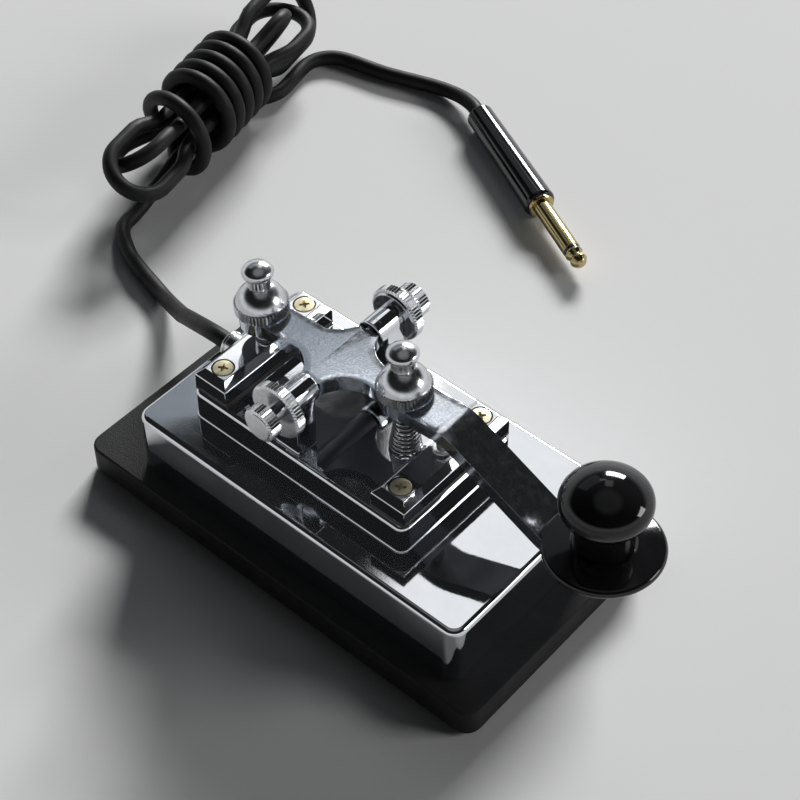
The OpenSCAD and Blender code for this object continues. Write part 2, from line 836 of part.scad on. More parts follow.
module terminal_nut() color("#cdb36a") translate([front_bar_x, 0, 0]) difference() {
    nut_top = slot_z - flange_t - tag_t;
    rod(hex_d, nut_top - hex_t, nut_top, $fn = 6);
    rod(stud_d + 2 * fit, nut_top - hex_t - past, nut_top + past);
}

// Solder tag with its tail towards the rear, its upper face at a height
module solder_tag(x, z, hole_d) {
    translate([x, 0, z - tag_t]) difference() {
        linear_extrude(tag_t) {
            circle(d = tag_d);
            translate([-tag_l, -tag_w / 2]) square([tag_l, tag_w]);
        }
        translate([0, 0, -past]) cylinder(d = hole_d + 2 * fit, h = tag_t + 2 * past);
    }
}

module terminal_tags() color("#d6c27a") {
    solder_tag(front_bar_x, slot_z - flange_t, stud_d);
    solder_tag(ground_x, slot_z, ground_d);
}

module ground_screw() color("#cdb36a") translate([ground_x, 0, 0]) {
    rod(ground_d, slot_z - tag_t, slot_z + ground_bite);
    rod(tag_d - 1, slot_z - tag_t - ground_head_t, slot_z - tag_t);
}

// Two leads from the gland to the tags
module lead_wires() color("#8c2f26") {
    low_z = slot_z - tag_t - lead_d / 2;
    deep_z = low_z - flange_t;
    apart = lead_d / 2 + fit;
    start = plinth_rear - gland_l + cord_d;
    tag_a = ground_x - tag_l;
    tag_b = front_bar_x - tag_l;
    way_out = gland_z - lead_d / 2;
    sag = 1.5 * lead_d;
    tail = 2 * lead_d;
    tube([
        [start, apart, gland_z], [start + lead_d, apart, gland_z],
        [slot_rear, apart, way_out], [slot_rear + 2 * lead_d, 1.4 * apart, low_z - lead_d],
        [(slot_rear + tag_a) / 2, 1.7 * apart, low_z - sag],
        [tag_a - 2.5 * lead_d, apart, low_z - lead_d],
        [tag_a - lead_d / 2, apart / 8, low_z - lead_d / 8], [tag_a + tail / 3, 0, low_z],
        [tag_a + tail, 0, low_z]
    ], lead_d, 8);
    tube([
        [start, -apart, gland_z], [start + lead_d, -apart, gland_z],
        [slot_rear, -apart, way_out], [slot_rear + 2 * lead_d, -2.4 * apart, low_z - lead_d],
        [slot_rear + 3 * tail, -4.5 * apart, low_z - 2 * lead_d],
        [ground_x - 2 * tail, -5.7 * apart, deep_z - sag],
        [ground_x + 2 * tail, -5.7 * apart, deep_z - sag], [tag_b - 3 * tail, -3.8 * apart, deep_z - sag],
        [tag_b - 2.5 * lead_d, -1.4 * apart, deep_z - lead_d],
        [tag_b - lead_d / 2, -apart / 8, deep_z - lead_d / 8],
        [tag_b + tail / 3, 0, deep_z], [tag_b + tail, 0, deep_z]
    ], lead_d, 8);
}

// Upright post with a round top, a boss and the bore of its pivot screw
module pivot_post(side) {
    difference() {
        union() {
            translate([pivot_x, side * post_mid, 0]) rotate([90, 0, 0]) {
                linear_extrude(post_t, center = true) {
                    translate([-post_w / 2, plinth_z]) square([post_w, pivot_h]);
                    translate([0, pivot_z]) circle(d = post_w);
                }
            }
            on_pivot(side) rod(post_w, post_in - boss_l, post_in);
        }
        on_pivot(side) rod(pivot_d + 2 * fit, post_in - boss_l - past, post_out + past);
        translate([pivot_x, side * post_mid, 0]) {
            rod(post_screw_d + 2 * fit, plinth_z - past, plinth_z + post_screw_bite + fit);
        }
    }
}

module near_pivot_post() color("#cdd1d6") pivot_post(-1);

module far_pivot_post() color("#cdd1d6") pivot_post(1);

module post_screws() color("#b9bcc0") for (y = [-1, 1]) {
    translate([pivot_x, y * post_mid, 0]) {
        rod(post_screw_d, pocket_z, plinth_z + post_screw_bite);
        rod(post_head_d, pocket_z - post_head_t, pocket_z);
    }
}

// Pivot screw with a knurled head and a slim journal
module pivot_screw(side) {
    cone = (pivot_d - journal_d) / 2;
    on_pivot(side) {
        rod(journal_d, journal_in, shoulder + cone);
        translate([0, 0, shoulder]) cylinder(d1 = journal_d, d2 = pivot_d, h = cone);
        rod(pivot_d, shoulder + cone, head_in);
        translate([0, 0, head_in]) linear_extrude(pivot_head_l) {
            polygon(knurl_points(pivot_head_d / 2, round(teeth * 0.7)));
        }
    }
}

// Flat knurled nut that locks a pivot screw
module pivot_nut(side) {
    bevel = 0.8;
    root_d = pivot_nut_d - 2 * (knurl + inside);
    on_pivot(side) difference() {
        union() {
            translate([0, 0, nut_in]) cylinder(d1 = root_d - 2 * bevel, d2 = root_d, h = bevel);
            translate([0, 0, nut_in + bevel]) linear_extrude(pivot_nut_t - bevel) {
                polygon(knurl_points(pivot_nut_d / 2, teeth));
            }
        }
        rod(pivot_d + 2 * fit, nut_in - past, nut_out + past);
    }
}

module near_pivot_screw() color("#d3d6da") pivot_screw(-1);

module far_pivot_screw() color("#d3d6da") pivot_screw(1);

module near_pivot_lock_nut() color("#d3d6da") pivot_nut(-1);

module far_pivot_lock_nut() color("#d3d6da") pivot_nut(1);

// Plan of the lever: rear lug, star with hollow sides, front lug and arm
module lever_plan() {
    star_rear = pivot_x - 14.3;
    star_front = tension_x - 2;
    translate([gap_x, 0]) circle(lug_r);
    translate([gap_x, -neck_w / 2]) square([star_rear - gap_x + 4.5, neck_w]);
    difference() {
        translate([star_rear, -ear_reach]) square([star_front - star_rear, 2 * ear_reach]);
        for (side = [-1, 1]) {
            translate([star_rear, side * (rear_hollow_r + 4.7)]) circle(rear_hollow_r);
            translate([pivot_x + 14.4, side * (front_hollow_r + 4.2)]) circle(front_hollow_r);
        }
    }
    translate([tension_x, 0]) circle(lug_r);
    translate([tension_x, -arm_w / 2]) square([knob_x - tension_x, arm_w]);
    translate([knob_x, 0]) circle(tip_r);
}

// Points of a bend between two angles
function bend(middle, r, from, to) = [
    for (i = [0 : bend_steps])
        let (q = from + (to - from) * i / bend_steps) middle + r * [cos(q), sin(q)]
];

// Side view of the lever: level, sloping down, level again
module lever_side() {
    inner = bend_r - lever_t;
    bend_drop = (bend_r + inner) * (1 - cos(arm_slope));
    slope_l = (arm_drop - bend_drop) / sin(arm_slope);
    slope_x = bend_x + bend_r * sin(arm_slope);
    level_x = slope_x + slope_l * cos(arm_slope) + inner * sin(arm_slope);
    upper = [bend_x, lever_top - bend_r];
    lower = [level_x, arm_top + inner];
    rear = gap_x - lug_r - past;
    front = knob_x + tip_r + past;
    polygon(concat(
        [[rear, lever_top]],
        bend(upper, bend_r, 90, 90 - arm_slope),
        bend(lower, inner, 270 - arm_slope, 270),
        [[front, arm_top], [front, arm_low]],
        bend(lower, bend_r, 270, 270 - arm_slope),
        bend(upper, inner, 90 - arm_slope, 90),
        [[rear, lever_low]]
    ));
}

module lever() color("#c4c9d0") at_rest() difference() {
    union() {
        intersection() {
            translate([0, 0, arm_low - past]) linear_extrude(lever_top - arm_low + 2 * past) {
                lever_plan();
            }
            rotate([90, 0, 0]) linear_extrude(4 * ear_reach, center = true) lever_side();
        }
        intersection() {
            on_pivot(1) rod(2 * hub_r, -ear_reach, ear_reach);
            translate([pivot_x - 2 * hub_r, -2 * ear_reach, lever_top - 4 * hub_r]) {
                cube([4 * hub_r, 4 * ear_reach, 4 * hub_r]);
            }
        }
    }
    for (side = [-1, 1]) on_pivot(side) rod(journal_d + 2 * fit, journal_in - fit, ear_reach + past);
    for (x = [gap_x, tension_x]) translate([x, 0, 0]) {
        rod(adjust_d + 2 * fit, lever_low - past, lever_top + past);
    }
    translate([front_bar_x, 0, 0]) rod(contact_d / 2 + 2 * fit, lever_low - past, lever_low + 2);
    translate([knob_x, 0, 0]) rod(knob_screw_d + 2 * fit, arm_low - past, arm_top + past);
}

module lever_contact() color("#d7d9dc") at_rest() translate([front_bar_x, 0, 0]) {
    rod(contact_d, contact_low, lever_low);
    rod(contact_d / 2, lever_low, lever_low + 2 - fit);
}

module gap_screw() color("#d3d6da") at_rest() translate([gap_x, 0, 0]) adjust_screw(gap_neck, gap_low);

module gap_lock_nut() color("#d3d6da") at_rest() translate([gap_x, 0, nut_z]) dome_nut();

module tension_screw() color("#d3d6da") at_rest() translate([tension_x, 0, 0]) {
    adjust_screw(tension_neck, tension_low);
    rod(pilot_d, tension_low - pilot_l, tension_low);
}

module tension_lock_nut() color("#d3d6da") at_rest() translate([tension_x, 0, nut_z]) dome_nut();

module return_spring() color("#8d9298") translate([spring_x, 0, plinth_z]) {
    echo(spring_least_gap = least_gap(spring_points, wire_d, 4));
    tube(spring_points, wire_d, 6);
}

// Skirt under the knob, with a low hub that stands on the arm
module knob_skirt() color("#0d0d0e") at_rest() translate([knob_x, 0, 0]) difference() {
    rotate_extrude() {
        half = rim_t / 2;
        out = skirt_d / 2 - half;
        translate([out, skirt_z + half]) circle(half);
        translate([0, arm_top]) square([hub_d / 2, skirt_z - arm_top]);
        polygon([
            [0, skirt_z], [out, skirt_z], [out, skirt_z + rim_t], [hub_d / 2 + 0.4, seat_z], [0, seat_z]
        ]);
    }
    rod(knob_screw_d + 2 * fit, arm_top - past, seat_z + past);
}

module knob() color("#0b0b0c") at_rest() translate([knob_x, 0, 0]) difference() {
    rotate_extrude() {
        neck_r = knob_neck_d / 2;
        blend = 2.2;
        translate([0, seat_z]) square([neck_r, ball_z - seat_z]);
        translate([0, ball_z]) button_section(ball_d, ball_edge, ball_top_r);
        difference() {
            translate([neck_r, ball_z - ball_edge - blend]) square([blend, blend + ball_edge / 2]);
            translate([neck_r + blend, ball_z - ball_edge - blend]) circle(blend);
        }
    }
    rod(knob_screw_d + 2 * fit, seat_z - past, seat_z + knob_bite + fit);
}

module knob_screw() color("#b9bcc0") at_rest() translate([knob_x, 0, 0]) difference() {
    union() {
        rod(knob_screw_d, arm_low, seat_z + knob_bite);
        rod(knob_head_d, arm_low - knob_head_t, arm_low);
    }
    translate([0, 0, arm_low - knob_head_t]) cube([knob_head_d + past, 1.2, 2.4], center = true);
}

module cord_gland() color("#cfd3d8") translate([plinth_rear, 0, gland_z]) rotate([0, -90, 0]) {
    difference() {
        union() {
            rod(gland_tail_d, plinth_rear - slot_rear, 0);
            rod(gland_d, 0, gland_flange_t);
            translate([0, 0, gland_flange_t]) {
                cylinder(d1 = gland_d - 1, d2 = gland_d - 1.6, h = gland_l - gland_flange_t - gland_lip);
            }
            rod(gland_d - 1, gland_l - gland_lip, gland_l);
        }
        rod(gland_bore_d, plinth_rear - slot_rear - past, gland_l - cord_d);
    }
}

module cord_key_run() color("#141414") tube(key_points, cord_d, cord_sides);

module cord_hank() color("#141414") {
    echo(hank_least_gap = least_gap(hank_points, cord_d, 3));
    echo(cord_length = route_length(key_points) + route_length(hank_points) + route_length(plug_points));
    tube(hank_points, cord_d, 6);
}

module cord_plug_run() color("#141414") tube(plug_points, cord_d, cord_sides);

// Turns a shape that stands on Z to lie along the plug, from its tail
module along_plug() {
    translate(plug_tail) rotate([0, 0, plug_turn]) rotate([0, 90, 0]) children();
}

module plug_barrel() color("#0e0e0f") along_plug() difference() {
    union() {
        translate([0, 0, 1]) cylinder(d1 = tail_d, d2 = barrel_d, h = barrel_l - 2);
        cylinder(d1 = tail_d - 2, d2 = tail_d, h = 1);
        translate([0, 0, barrel_l - 1]) cylinder(d1 = barrel_d, d2 = barrel_d - 1, h = 1);
    }
    rod(collar_d + 2 * fit, barrel_l - collar_in, barrel_l + past);
    rod(stem_d + 2 * fit, barrel_l - sleeve_in, barrel_l + past);
}

module plug_collar() color("#b8963f") along_plug() difference() {
    rod(collar_d, barrel_l - collar_in, barrel_l + collar_out);
    rod(stem_d + 2 * fit, barrel_l - collar_in - past, barrel_l + collar_out + past);
}

module plug_sleeve() color("#b8963f") along_plug() {
    rod(plug_d, barrel_l + collar_out, barrel_l + plug_l - tip_l - ring_t);
    rod(stem_d, barrel_l - sleeve_in, barrel_l + collar_out);
}

module plug_insulating_ring() color("#121212") along_plug() {
    rod(plug_d - ring_step, barrel_l + plug_l - tip_l - ring_t, barrel_l + plug_l - tip_l);
}

module plug_tip() color("#b8963f") along_plug() translate([0, 0, barrel_l + plug_l - tip_l]) {
    r = plug_d / 2;
    rotate_extrude() polygon([
        [0, 0], [0.95 * r, 0], [r, 0.1 * tip_l], [0.66 * r, 0.36 * tip_l], [0.94 * r, 0.56 * tip_l],
        [0.94 * r, 0.66 * tip_l], [0.7 * r, 0.86 * tip_l], [0.36 * r, tip_l], [0, tip_l]
    ]);
}

base_pad();
base_plate();
body_screws();
body_casting();
rear_insulator();
front_insulator();
rear_contact_bar();
front_contact_bar();
rear_bar_screws();
front_bar_screws();
rear_anvil();
front_anvil();
front_bush();
terminal_nut();
terminal_tags();
ground_screw();
lead_wires();
near_pivot_post();
far_pivot_post();
post_screws();
near_pivot_screw();
far_pivot_screw();
near_pivot_lock_nut();
far_pivot_lock_nut();
lever();
lever_contact();
gap_screw();
gap_lock_nut();
tension_screw();
tension_lock_nut();
return_spring();
knob_skirt();
knob();
knob_screw();
cord_gland();
cord_key_run();
cord_hank();
cord_plug_run();
plug_barrel();
plug_collar();
plug_sleeve();
plug_insulating_ring();
plug_tip();
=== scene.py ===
import logging
import math
from dataclasses import dataclass
from enum import Enum
from typing import Callable, Iterable, Sequence

import bmesh
import bpy
from mathutils import Matrix, Vector


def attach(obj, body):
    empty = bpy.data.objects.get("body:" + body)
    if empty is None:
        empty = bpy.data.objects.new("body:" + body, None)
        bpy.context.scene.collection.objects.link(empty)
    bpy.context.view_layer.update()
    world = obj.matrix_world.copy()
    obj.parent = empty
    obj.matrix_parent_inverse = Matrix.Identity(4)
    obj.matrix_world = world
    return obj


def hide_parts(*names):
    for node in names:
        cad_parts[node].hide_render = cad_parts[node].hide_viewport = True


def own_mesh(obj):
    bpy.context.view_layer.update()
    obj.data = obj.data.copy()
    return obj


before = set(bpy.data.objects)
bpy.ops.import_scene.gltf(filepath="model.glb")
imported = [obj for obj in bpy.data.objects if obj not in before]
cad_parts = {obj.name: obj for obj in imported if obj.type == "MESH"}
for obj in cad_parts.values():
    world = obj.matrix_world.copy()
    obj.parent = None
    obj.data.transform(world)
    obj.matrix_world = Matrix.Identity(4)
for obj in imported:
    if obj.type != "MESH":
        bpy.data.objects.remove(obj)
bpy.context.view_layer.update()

LOG = logging.getLogger("telegraph_key")
MM = 0.001
Point = tuple[float, float]
Corner = tuple[float, float, float]


class Side(Enum):
    """The two sides of the key: near the camera and far from it."""

    NEAR = -1
    FAR = 1


class Body(Enum):
    """The rigid bodies of the frame that pieces ride on."""

    STAND = "stand"
    LEVER = "lever"
    GAP_SCREW = "gap_screw"
    GAP_NUT = "gap_lock_nut"
    TENSION_SCREW = "tension_screw"
    TENSION_NUT = "tension_lock_nut"
    NEAR_SCREW = "near_pivot_screw"
    FAR_SCREW = "far_pivot_screw"
    NEAR_NUT = "near_pivot_lock_nut"
    FAR_NUT = "far_pivot_lock_nut"


@dataclass(frozen=True)
class Levels:
    """Heights and places that several sub-assemblies share, in millimetres."""

    pad: float = 1.5
    body: float = 11.0
    pocket: float = 29.4
    deck: float = 33.4
    slot: float = 38.2
    plinth: float = 43.7
    bar: float = 44.7
    bar_top: float = 51.7
    anvil: float = 52.9
    pivot: float = 62.0
    lever_low: float = 59.9
    lever_top: float = 64.5
    arm_low: float = 41.0
    arm_top: float = 45.6
    pivot_x: float = -7.7
    rear_bar_x: float = -37.3
    front_bar_x: float = 29.5
    tension_x: float = 16.294
    spring_x: float = 16.586
    knob_x: float = 83.8
    tilt: float = 3.8


AT = Levels()


def arc(middle: Point, radius: float, start: float, end: float, steps: int) -> list[Point]:
    """Points on an arc.

    Args:
        middle: Centre of the arc.
        radius: Its radius.
        start: First angle in degrees.
        end: Last angle in degrees.
        steps: Number of equal steps.

    Returns:
        The points from the first angle to the last.
    """
    turns = [math.radians(start + (end - start) * i / steps) for i in range(steps + 1)]
    return [(middle[0] + radius * math.cos(t), middle[1] + radius * math.sin(t)) for t in turns]


def rounded(corners: Sequence[Corner], closed: bool = False, steps: int = 5) -> list[Point]:
    """Rounds the corners of an outline.

    Args:
        corners: Corners as (across, up, rounding).
        closed: Whether the last corner joins the first.
        steps: Steps in each rounding.

    Returns:
        The outline's points, with an arc for each rounded corner.
    """
    points: list[Point] = []
    count = len(corners)
    for i, (x, y, radius) in enumerate(corners):
        if radius <= 0 or (not closed and i in (0, count - 1)):
            points.append((x, y))
            continue
        here = Vector((x, y))
        before = (Vector(corners[i - 1][:2]) - here).normalized()
        after = (Vector(corners[(i + 1) % count][:2]) - here).normalized()
        half = before.angle(after) / 2
        middle = here + (before + after).normalized() * (radius / math.sin(half))
        first = here + before * (radius / math.tan(half)) - middle
        last = here + after * (radius / math.tan(half)) - middle
        turn = first.angle_signed(last)
        for k in range(steps + 1):
            spoke = Matrix.Rotation(-turn * k / steps, 2) @ first
            points.append((middle.x + spoke.x, middle.y + spoke.y))
    return points


def round_rect(length: float, width: float, radius: float, shift: float = 0.0) -> list[Point]:
    """A rectangle with round corners.

    Args:
        length: Size along the key.
        width: Size across the key.
        radius: Corner radius.
        shift: Distance of its middle along the key.

    Returns:
        The outline, always with the same number of points.
    """
    x, y = length / 2, width / 2
    ring = [(shift - x, -y, radius), (shift + x, -y, radius), (shift + x, y, radius), (shift - x, y, radius)]
    return rounded(ring, closed=True, steps=8)


class Form:
    """A mesh in the making, in millimetres, in the key's own frame."""

    def __init__(self) -> None:
        """Starts an empty mesh."""
        self.bm = bmesh.new()

    def tidy(self) -> "Form":
        """Merges doubles, drops flat slivers and turns all faces outwards."""
        bmesh.ops.remove_doubles(self.bm, verts=self.bm.verts, dist=1e-4)
        bmesh.ops.dissolve_degenerate(self.bm, edges=self.bm.edges, dist=1e-5)
        bmesh.ops.recalc_face_normals(self.bm, faces=self.bm.faces)
        return self

    def lathe(self, outline: Sequence[Point], steps: int = 72) -> "Form":
        """Turns an outline of (radius, height) points round the upright axis."""
        verts = [self.bm.verts.new((r, 0.0, z)) for r, z in outline]
        edges = [self.bm.edges.new(pair) for pair in zip(verts, verts[1:])]
        bmesh.ops.spin(self.bm, geom=verts + edges, axis=(0, 0, 1), cent=(0, 0, 0), dvec=(0, 0, 0),
                       angle=math.tau, steps=steps, use_merge=True)
        return self.tidy()

    def slab(self, outline: Sequence[Point], low: float, high: float) -> "Form":
        """Raises a flat outline from one height to another."""
        face = self.bm.faces.new([self.bm.verts.new((x, y, low)) for x, y in outline])
        made = bmesh.ops.extrude_face_region(self.bm, geom=[face])
        top = [v for v in made["geom"] if isinstance(v, bmesh.types.BMVert)]
        bmesh.ops.translate(self.bm, verts=top, vec=(0, 0, high - low))
        return self.tidy()

    def block(self, size: Corner, middle: Corner) -> "Form":
        """Adds a box of a size about a middle point."""
        made = bmesh.ops.create_cube(self.bm, size=1.0)["verts"]
        bmesh.ops.scale(self.bm, verts=made, vec=size)
        bmesh.ops.translate(self.bm, verts=made, vec=middle)
        return self

    def knurl(self, radius: float, depth: float, count: int, low: float, high: float, lip: float) -> "Form":
        """Adds a ring with straight teeth and chamfered ends.

        Args:
            radius: Radius over the teeth.
            depth: Depth of the grooves.
            count: Number of teeth.
            low: Height of the lower end.
            high: Height of the upper end.
            lip: Width of the chamfer at both ends.

        Returns:
            This form.
        """
        ring = bmesh.ops.create_circle(self.bm, cap_ends=True, radius=radius, segments=2 * count)["verts"]
        for i, vert in enumerate(ring):
            vert.co *= 1.0 if i % 2 else (radius - depth) / radius
        bmesh.ops.translate(self.bm, verts=ring, vec=(0, 0, low + 0.7 * lip))
        first = [f for f in ring[0].link_faces]
        made = bmesh.ops.extrude_face_region(self.bm, geom=first)
        top = [v for v in made["geom"] if isinstance(v, bmesh.types.BMVert)]
        bmesh.ops.translate(self.bm, verts=top, vec=(0, 0, high - low - 1.4 * lip))
        self.tidy()
        caps = [f for f in self.bm.faces if len(f.verts) == 2 * count]
        bmesh.ops.inset_region(self.bm, faces=caps, thickness=lip, depth=0.7 * lip, use_even_offset=True)
        return self

    def thread(self, radius: float, depth: float, pitch: float, low: float, high: float) -> "Form":
        """Adds a screw thread by a climbing spin.

        Args:
            radius: Radius over the crests.
            depth: Depth of the thread.
            pitch: Rise in a turn.
            low: Height where it starts.
            high: Height where it ends.

        Returns:
            This form.
        """
        steps = 28
        turns = max(1, int((high - low) / pitch) - 1)
        path = [(radius - depth, 0.0), (radius, 0.4 * pitch), (radius, 0.52 * pitch), (radius - depth, 0.92 * pitch),
                (radius - depth, pitch)]
        verts = [self.bm.verts.new((r, 0.0, low + z)) for r, z in path]
        edges = [self.bm.edges.new(pair) for pair in zip(verts, verts[1:])]
        bmesh.ops.spin(self.bm, geom=verts + edges, axis=(0, 0, 1), cent=(0, 0, 0), dvec=(0, 0, pitch / steps),
                       angle=math.tau * turns, steps=steps * turns, use_merge=False)
        return self.tidy()

    def sweep(self, points: Sequence[Corner], radius: float, sides: int = 3) -> "Form":
        """Adds a round wire along points, with flat ends."""
        curve = wire_curve("sweep", points, radius, sides)
        holder = bpy.data.objects.new("sweep", curve)
        bpy.context.scene.collection.objects.link(holder)
        mesh = bpy.data.meshes.new_from_object(holder.evaluated_get(bpy.context.evaluated_depsgraph_get()))
        self.bm.from_mesh(mesh)
        bpy.data.objects.remove(holder)
        bpy.data.curves.remove(curve)
        bpy.data.meshes.remove(mesh)
        return self.tidy()

    def step(self, face: bmesh.types.BMFace, source: Sequence[Point], target: Sequence[Point],
             rise: float) -> bmesh.types.BMFace:
        """Raises or sinks a smaller outline out of a flat face.

        Args:
            face: The face, bounded by the source outline.
            source: The face's outline.
            target: The outline of the raised or sunk part, with as many points.
            rise: Its height, negative when it is sunk.

        Returns:
            The face at the end of the raised or sunk part.
        """
        bmesh.ops.inset_region(self.bm, faces=[face], thickness=0.2, use_even_offset=True)
        for vert in face.verts:
            spans = [(vert.co.x - x) ** 2 + (vert.co.y - y) ** 2 for x, y in source]
            vert.co.x, vert.co.y = target[spans.index(min(spans))]
        end = bmesh.ops.extrude_discrete_faces(self.bm, faces=[face])["faces"][0]
        bmesh.ops.translate(self.bm, verts=end.verts, vec=(0, 0, rise))
        return end

    def soften(self, width: float, segments: int, pick: Callable[[bmesh.types.BMEdge], bool]) -> "Form":
        """Rounds the edges that a test picks."""
        edges = [e for e in self.bm.edges if len(e.link_faces) == 2 and pick(e)]
        bmesh.ops.bevel(self.bm, geom=edges, offset=width, offset_type="OFFSET", segments=segments, profile=0.5,
                        affect="EDGES", material=-1, clamp_overlap=True)
        return self

    def move(self, place: Corner) -> "Form":
        """Moves the whole form."""
        bmesh.ops.translate(self.bm, verts=self.bm.verts, vec=place)
        return self

    def turn(self, degrees: float, axis: str) -> "Form":
        """Turns the whole form about an axis through the origin."""
        bmesh.ops.rotate(self.bm, verts=self.bm.verts, cent=(0, 0, 0),
                         matrix=Matrix.Rotation(math.radians(degrees), 3, axis))
        return self

    def at_rest(self) -> "Form":
        """Turns a form of the level lever to the lever's rest angle."""
        return self.move((-AT.pivot_x, 0.0, -AT.pivot)).turn(-AT.tilt, "Y").move((AT.pivot_x, 0.0, AT.pivot))

    def join(self, other: "Form") -> "Form":
        """Takes another form's mesh into this one."""
        mesh = bpy.data.meshes.new("joined")
        other.bm.to_mesh(mesh)
        other.bm.free()
        self.bm.from_mesh(mesh)
        bpy.data.meshes.remove(mesh)
        return self

    def loose(self, name: str) -> bpy.types.Object:
        """Makes a working object of the form and frees the form's mesh."""
        mesh = bpy.data.meshes.new(name)
        self.bm.to_mesh(mesh)
        self.bm.free()
        made = bpy.data.objects.new(name, mesh)
        bpy.context.scene.collection.objects.link(made)
        return made

    def carve(self, tool: "Form") -> "Form":
        """Cuts another closed form out of this one."""
        base, cutter = self.loose("carved"), tool.loose("cutter")
        cut = base.modifiers.new("cut", "BOOLEAN")
        cut.operation, cut.solver, cut.object = "DIFFERENCE", "EXACT", cutter
        mesh = bpy.data.meshes.new_from_object(base.evaluated_get(bpy.context.evaluated_depsgraph_get()))
        self.bm = bmesh.new()
        self.bm.from_mesh(mesh)
        old = [base.data, cutter.data, mesh]
        bpy.data.objects.remove(base)
        bpy.data.objects.remove(cutter)
        for data in old:
            bpy.data.meshes.remove(data)
        return self


def wire_curve(name: str, points: Sequence[Corner], radius: float, sides: int) -> bpy.types.Curve:
    """A round curve along points.

    Args:
        name: Name of the curve.
        points: Points of its middle line.
        radius: Radius of the wire.
        sides: Roundness of its section.

    Returns:
        The curve's data.
    """
    curve = bpy.data.curves.new(name, "CURVE")
    curve.dimensions = "3D"
    curve.bevel_depth = radius
    curve.bevel_resolution = sides
    curve.use_fill_caps = True
    spline = curve.splines.new("POLY")
    spline.points.add(len(points) - 1)
    for point, place in zip(spline.points, points):
        point.co = (*place, 1.0)
    return curve


def sharp(angle: float) -> Callable[[bmesh.types.BMEdge], bool]:
    """A test that picks edges whose faces meet at more than an angle in degrees."""
    return lambda edge: edge.calc_face_angle(0.0) > math.radians(angle)


def rim(height: float, angle: float = 40.0) -> Callable[[bmesh.types.BMEdge], bool]:
    """A test that picks sharp edges lying at a height."""
    return lambda edge: (all(abs(v.co.z - height) < 1e-3 for v in edge.verts)
                         and edge.calc_face_angle(0.0) > math.radians(angle))


class Graph:
    """A short way to write shader nodes."""

    def __init__(self, tree: bpy.types.NodeTree) -> None:
        """Takes the node tree to write in."""
        self.tree = tree

    def add(self, kind: str, inputs: dict[str | int, object] | None = None, **settings: object) -> bpy.types.Node:
        """Adds a node.

        Args:
            kind: The node's type name.
            inputs: Values or output sockets for its inputs.
            **settings: Settings of the node itself.

        Returns:
            The node.
        """
        node = self.tree.nodes.new(kind)
        for key, value in settings.items():
            setattr(node, key, value)
        for key, value in (inputs or {}).items():
            if isinstance(value, bpy.types.NodeSocket):
                self.tree.links.new(value, node.inputs[key])
            else:
                node.inputs[key].default_value = value
        return node


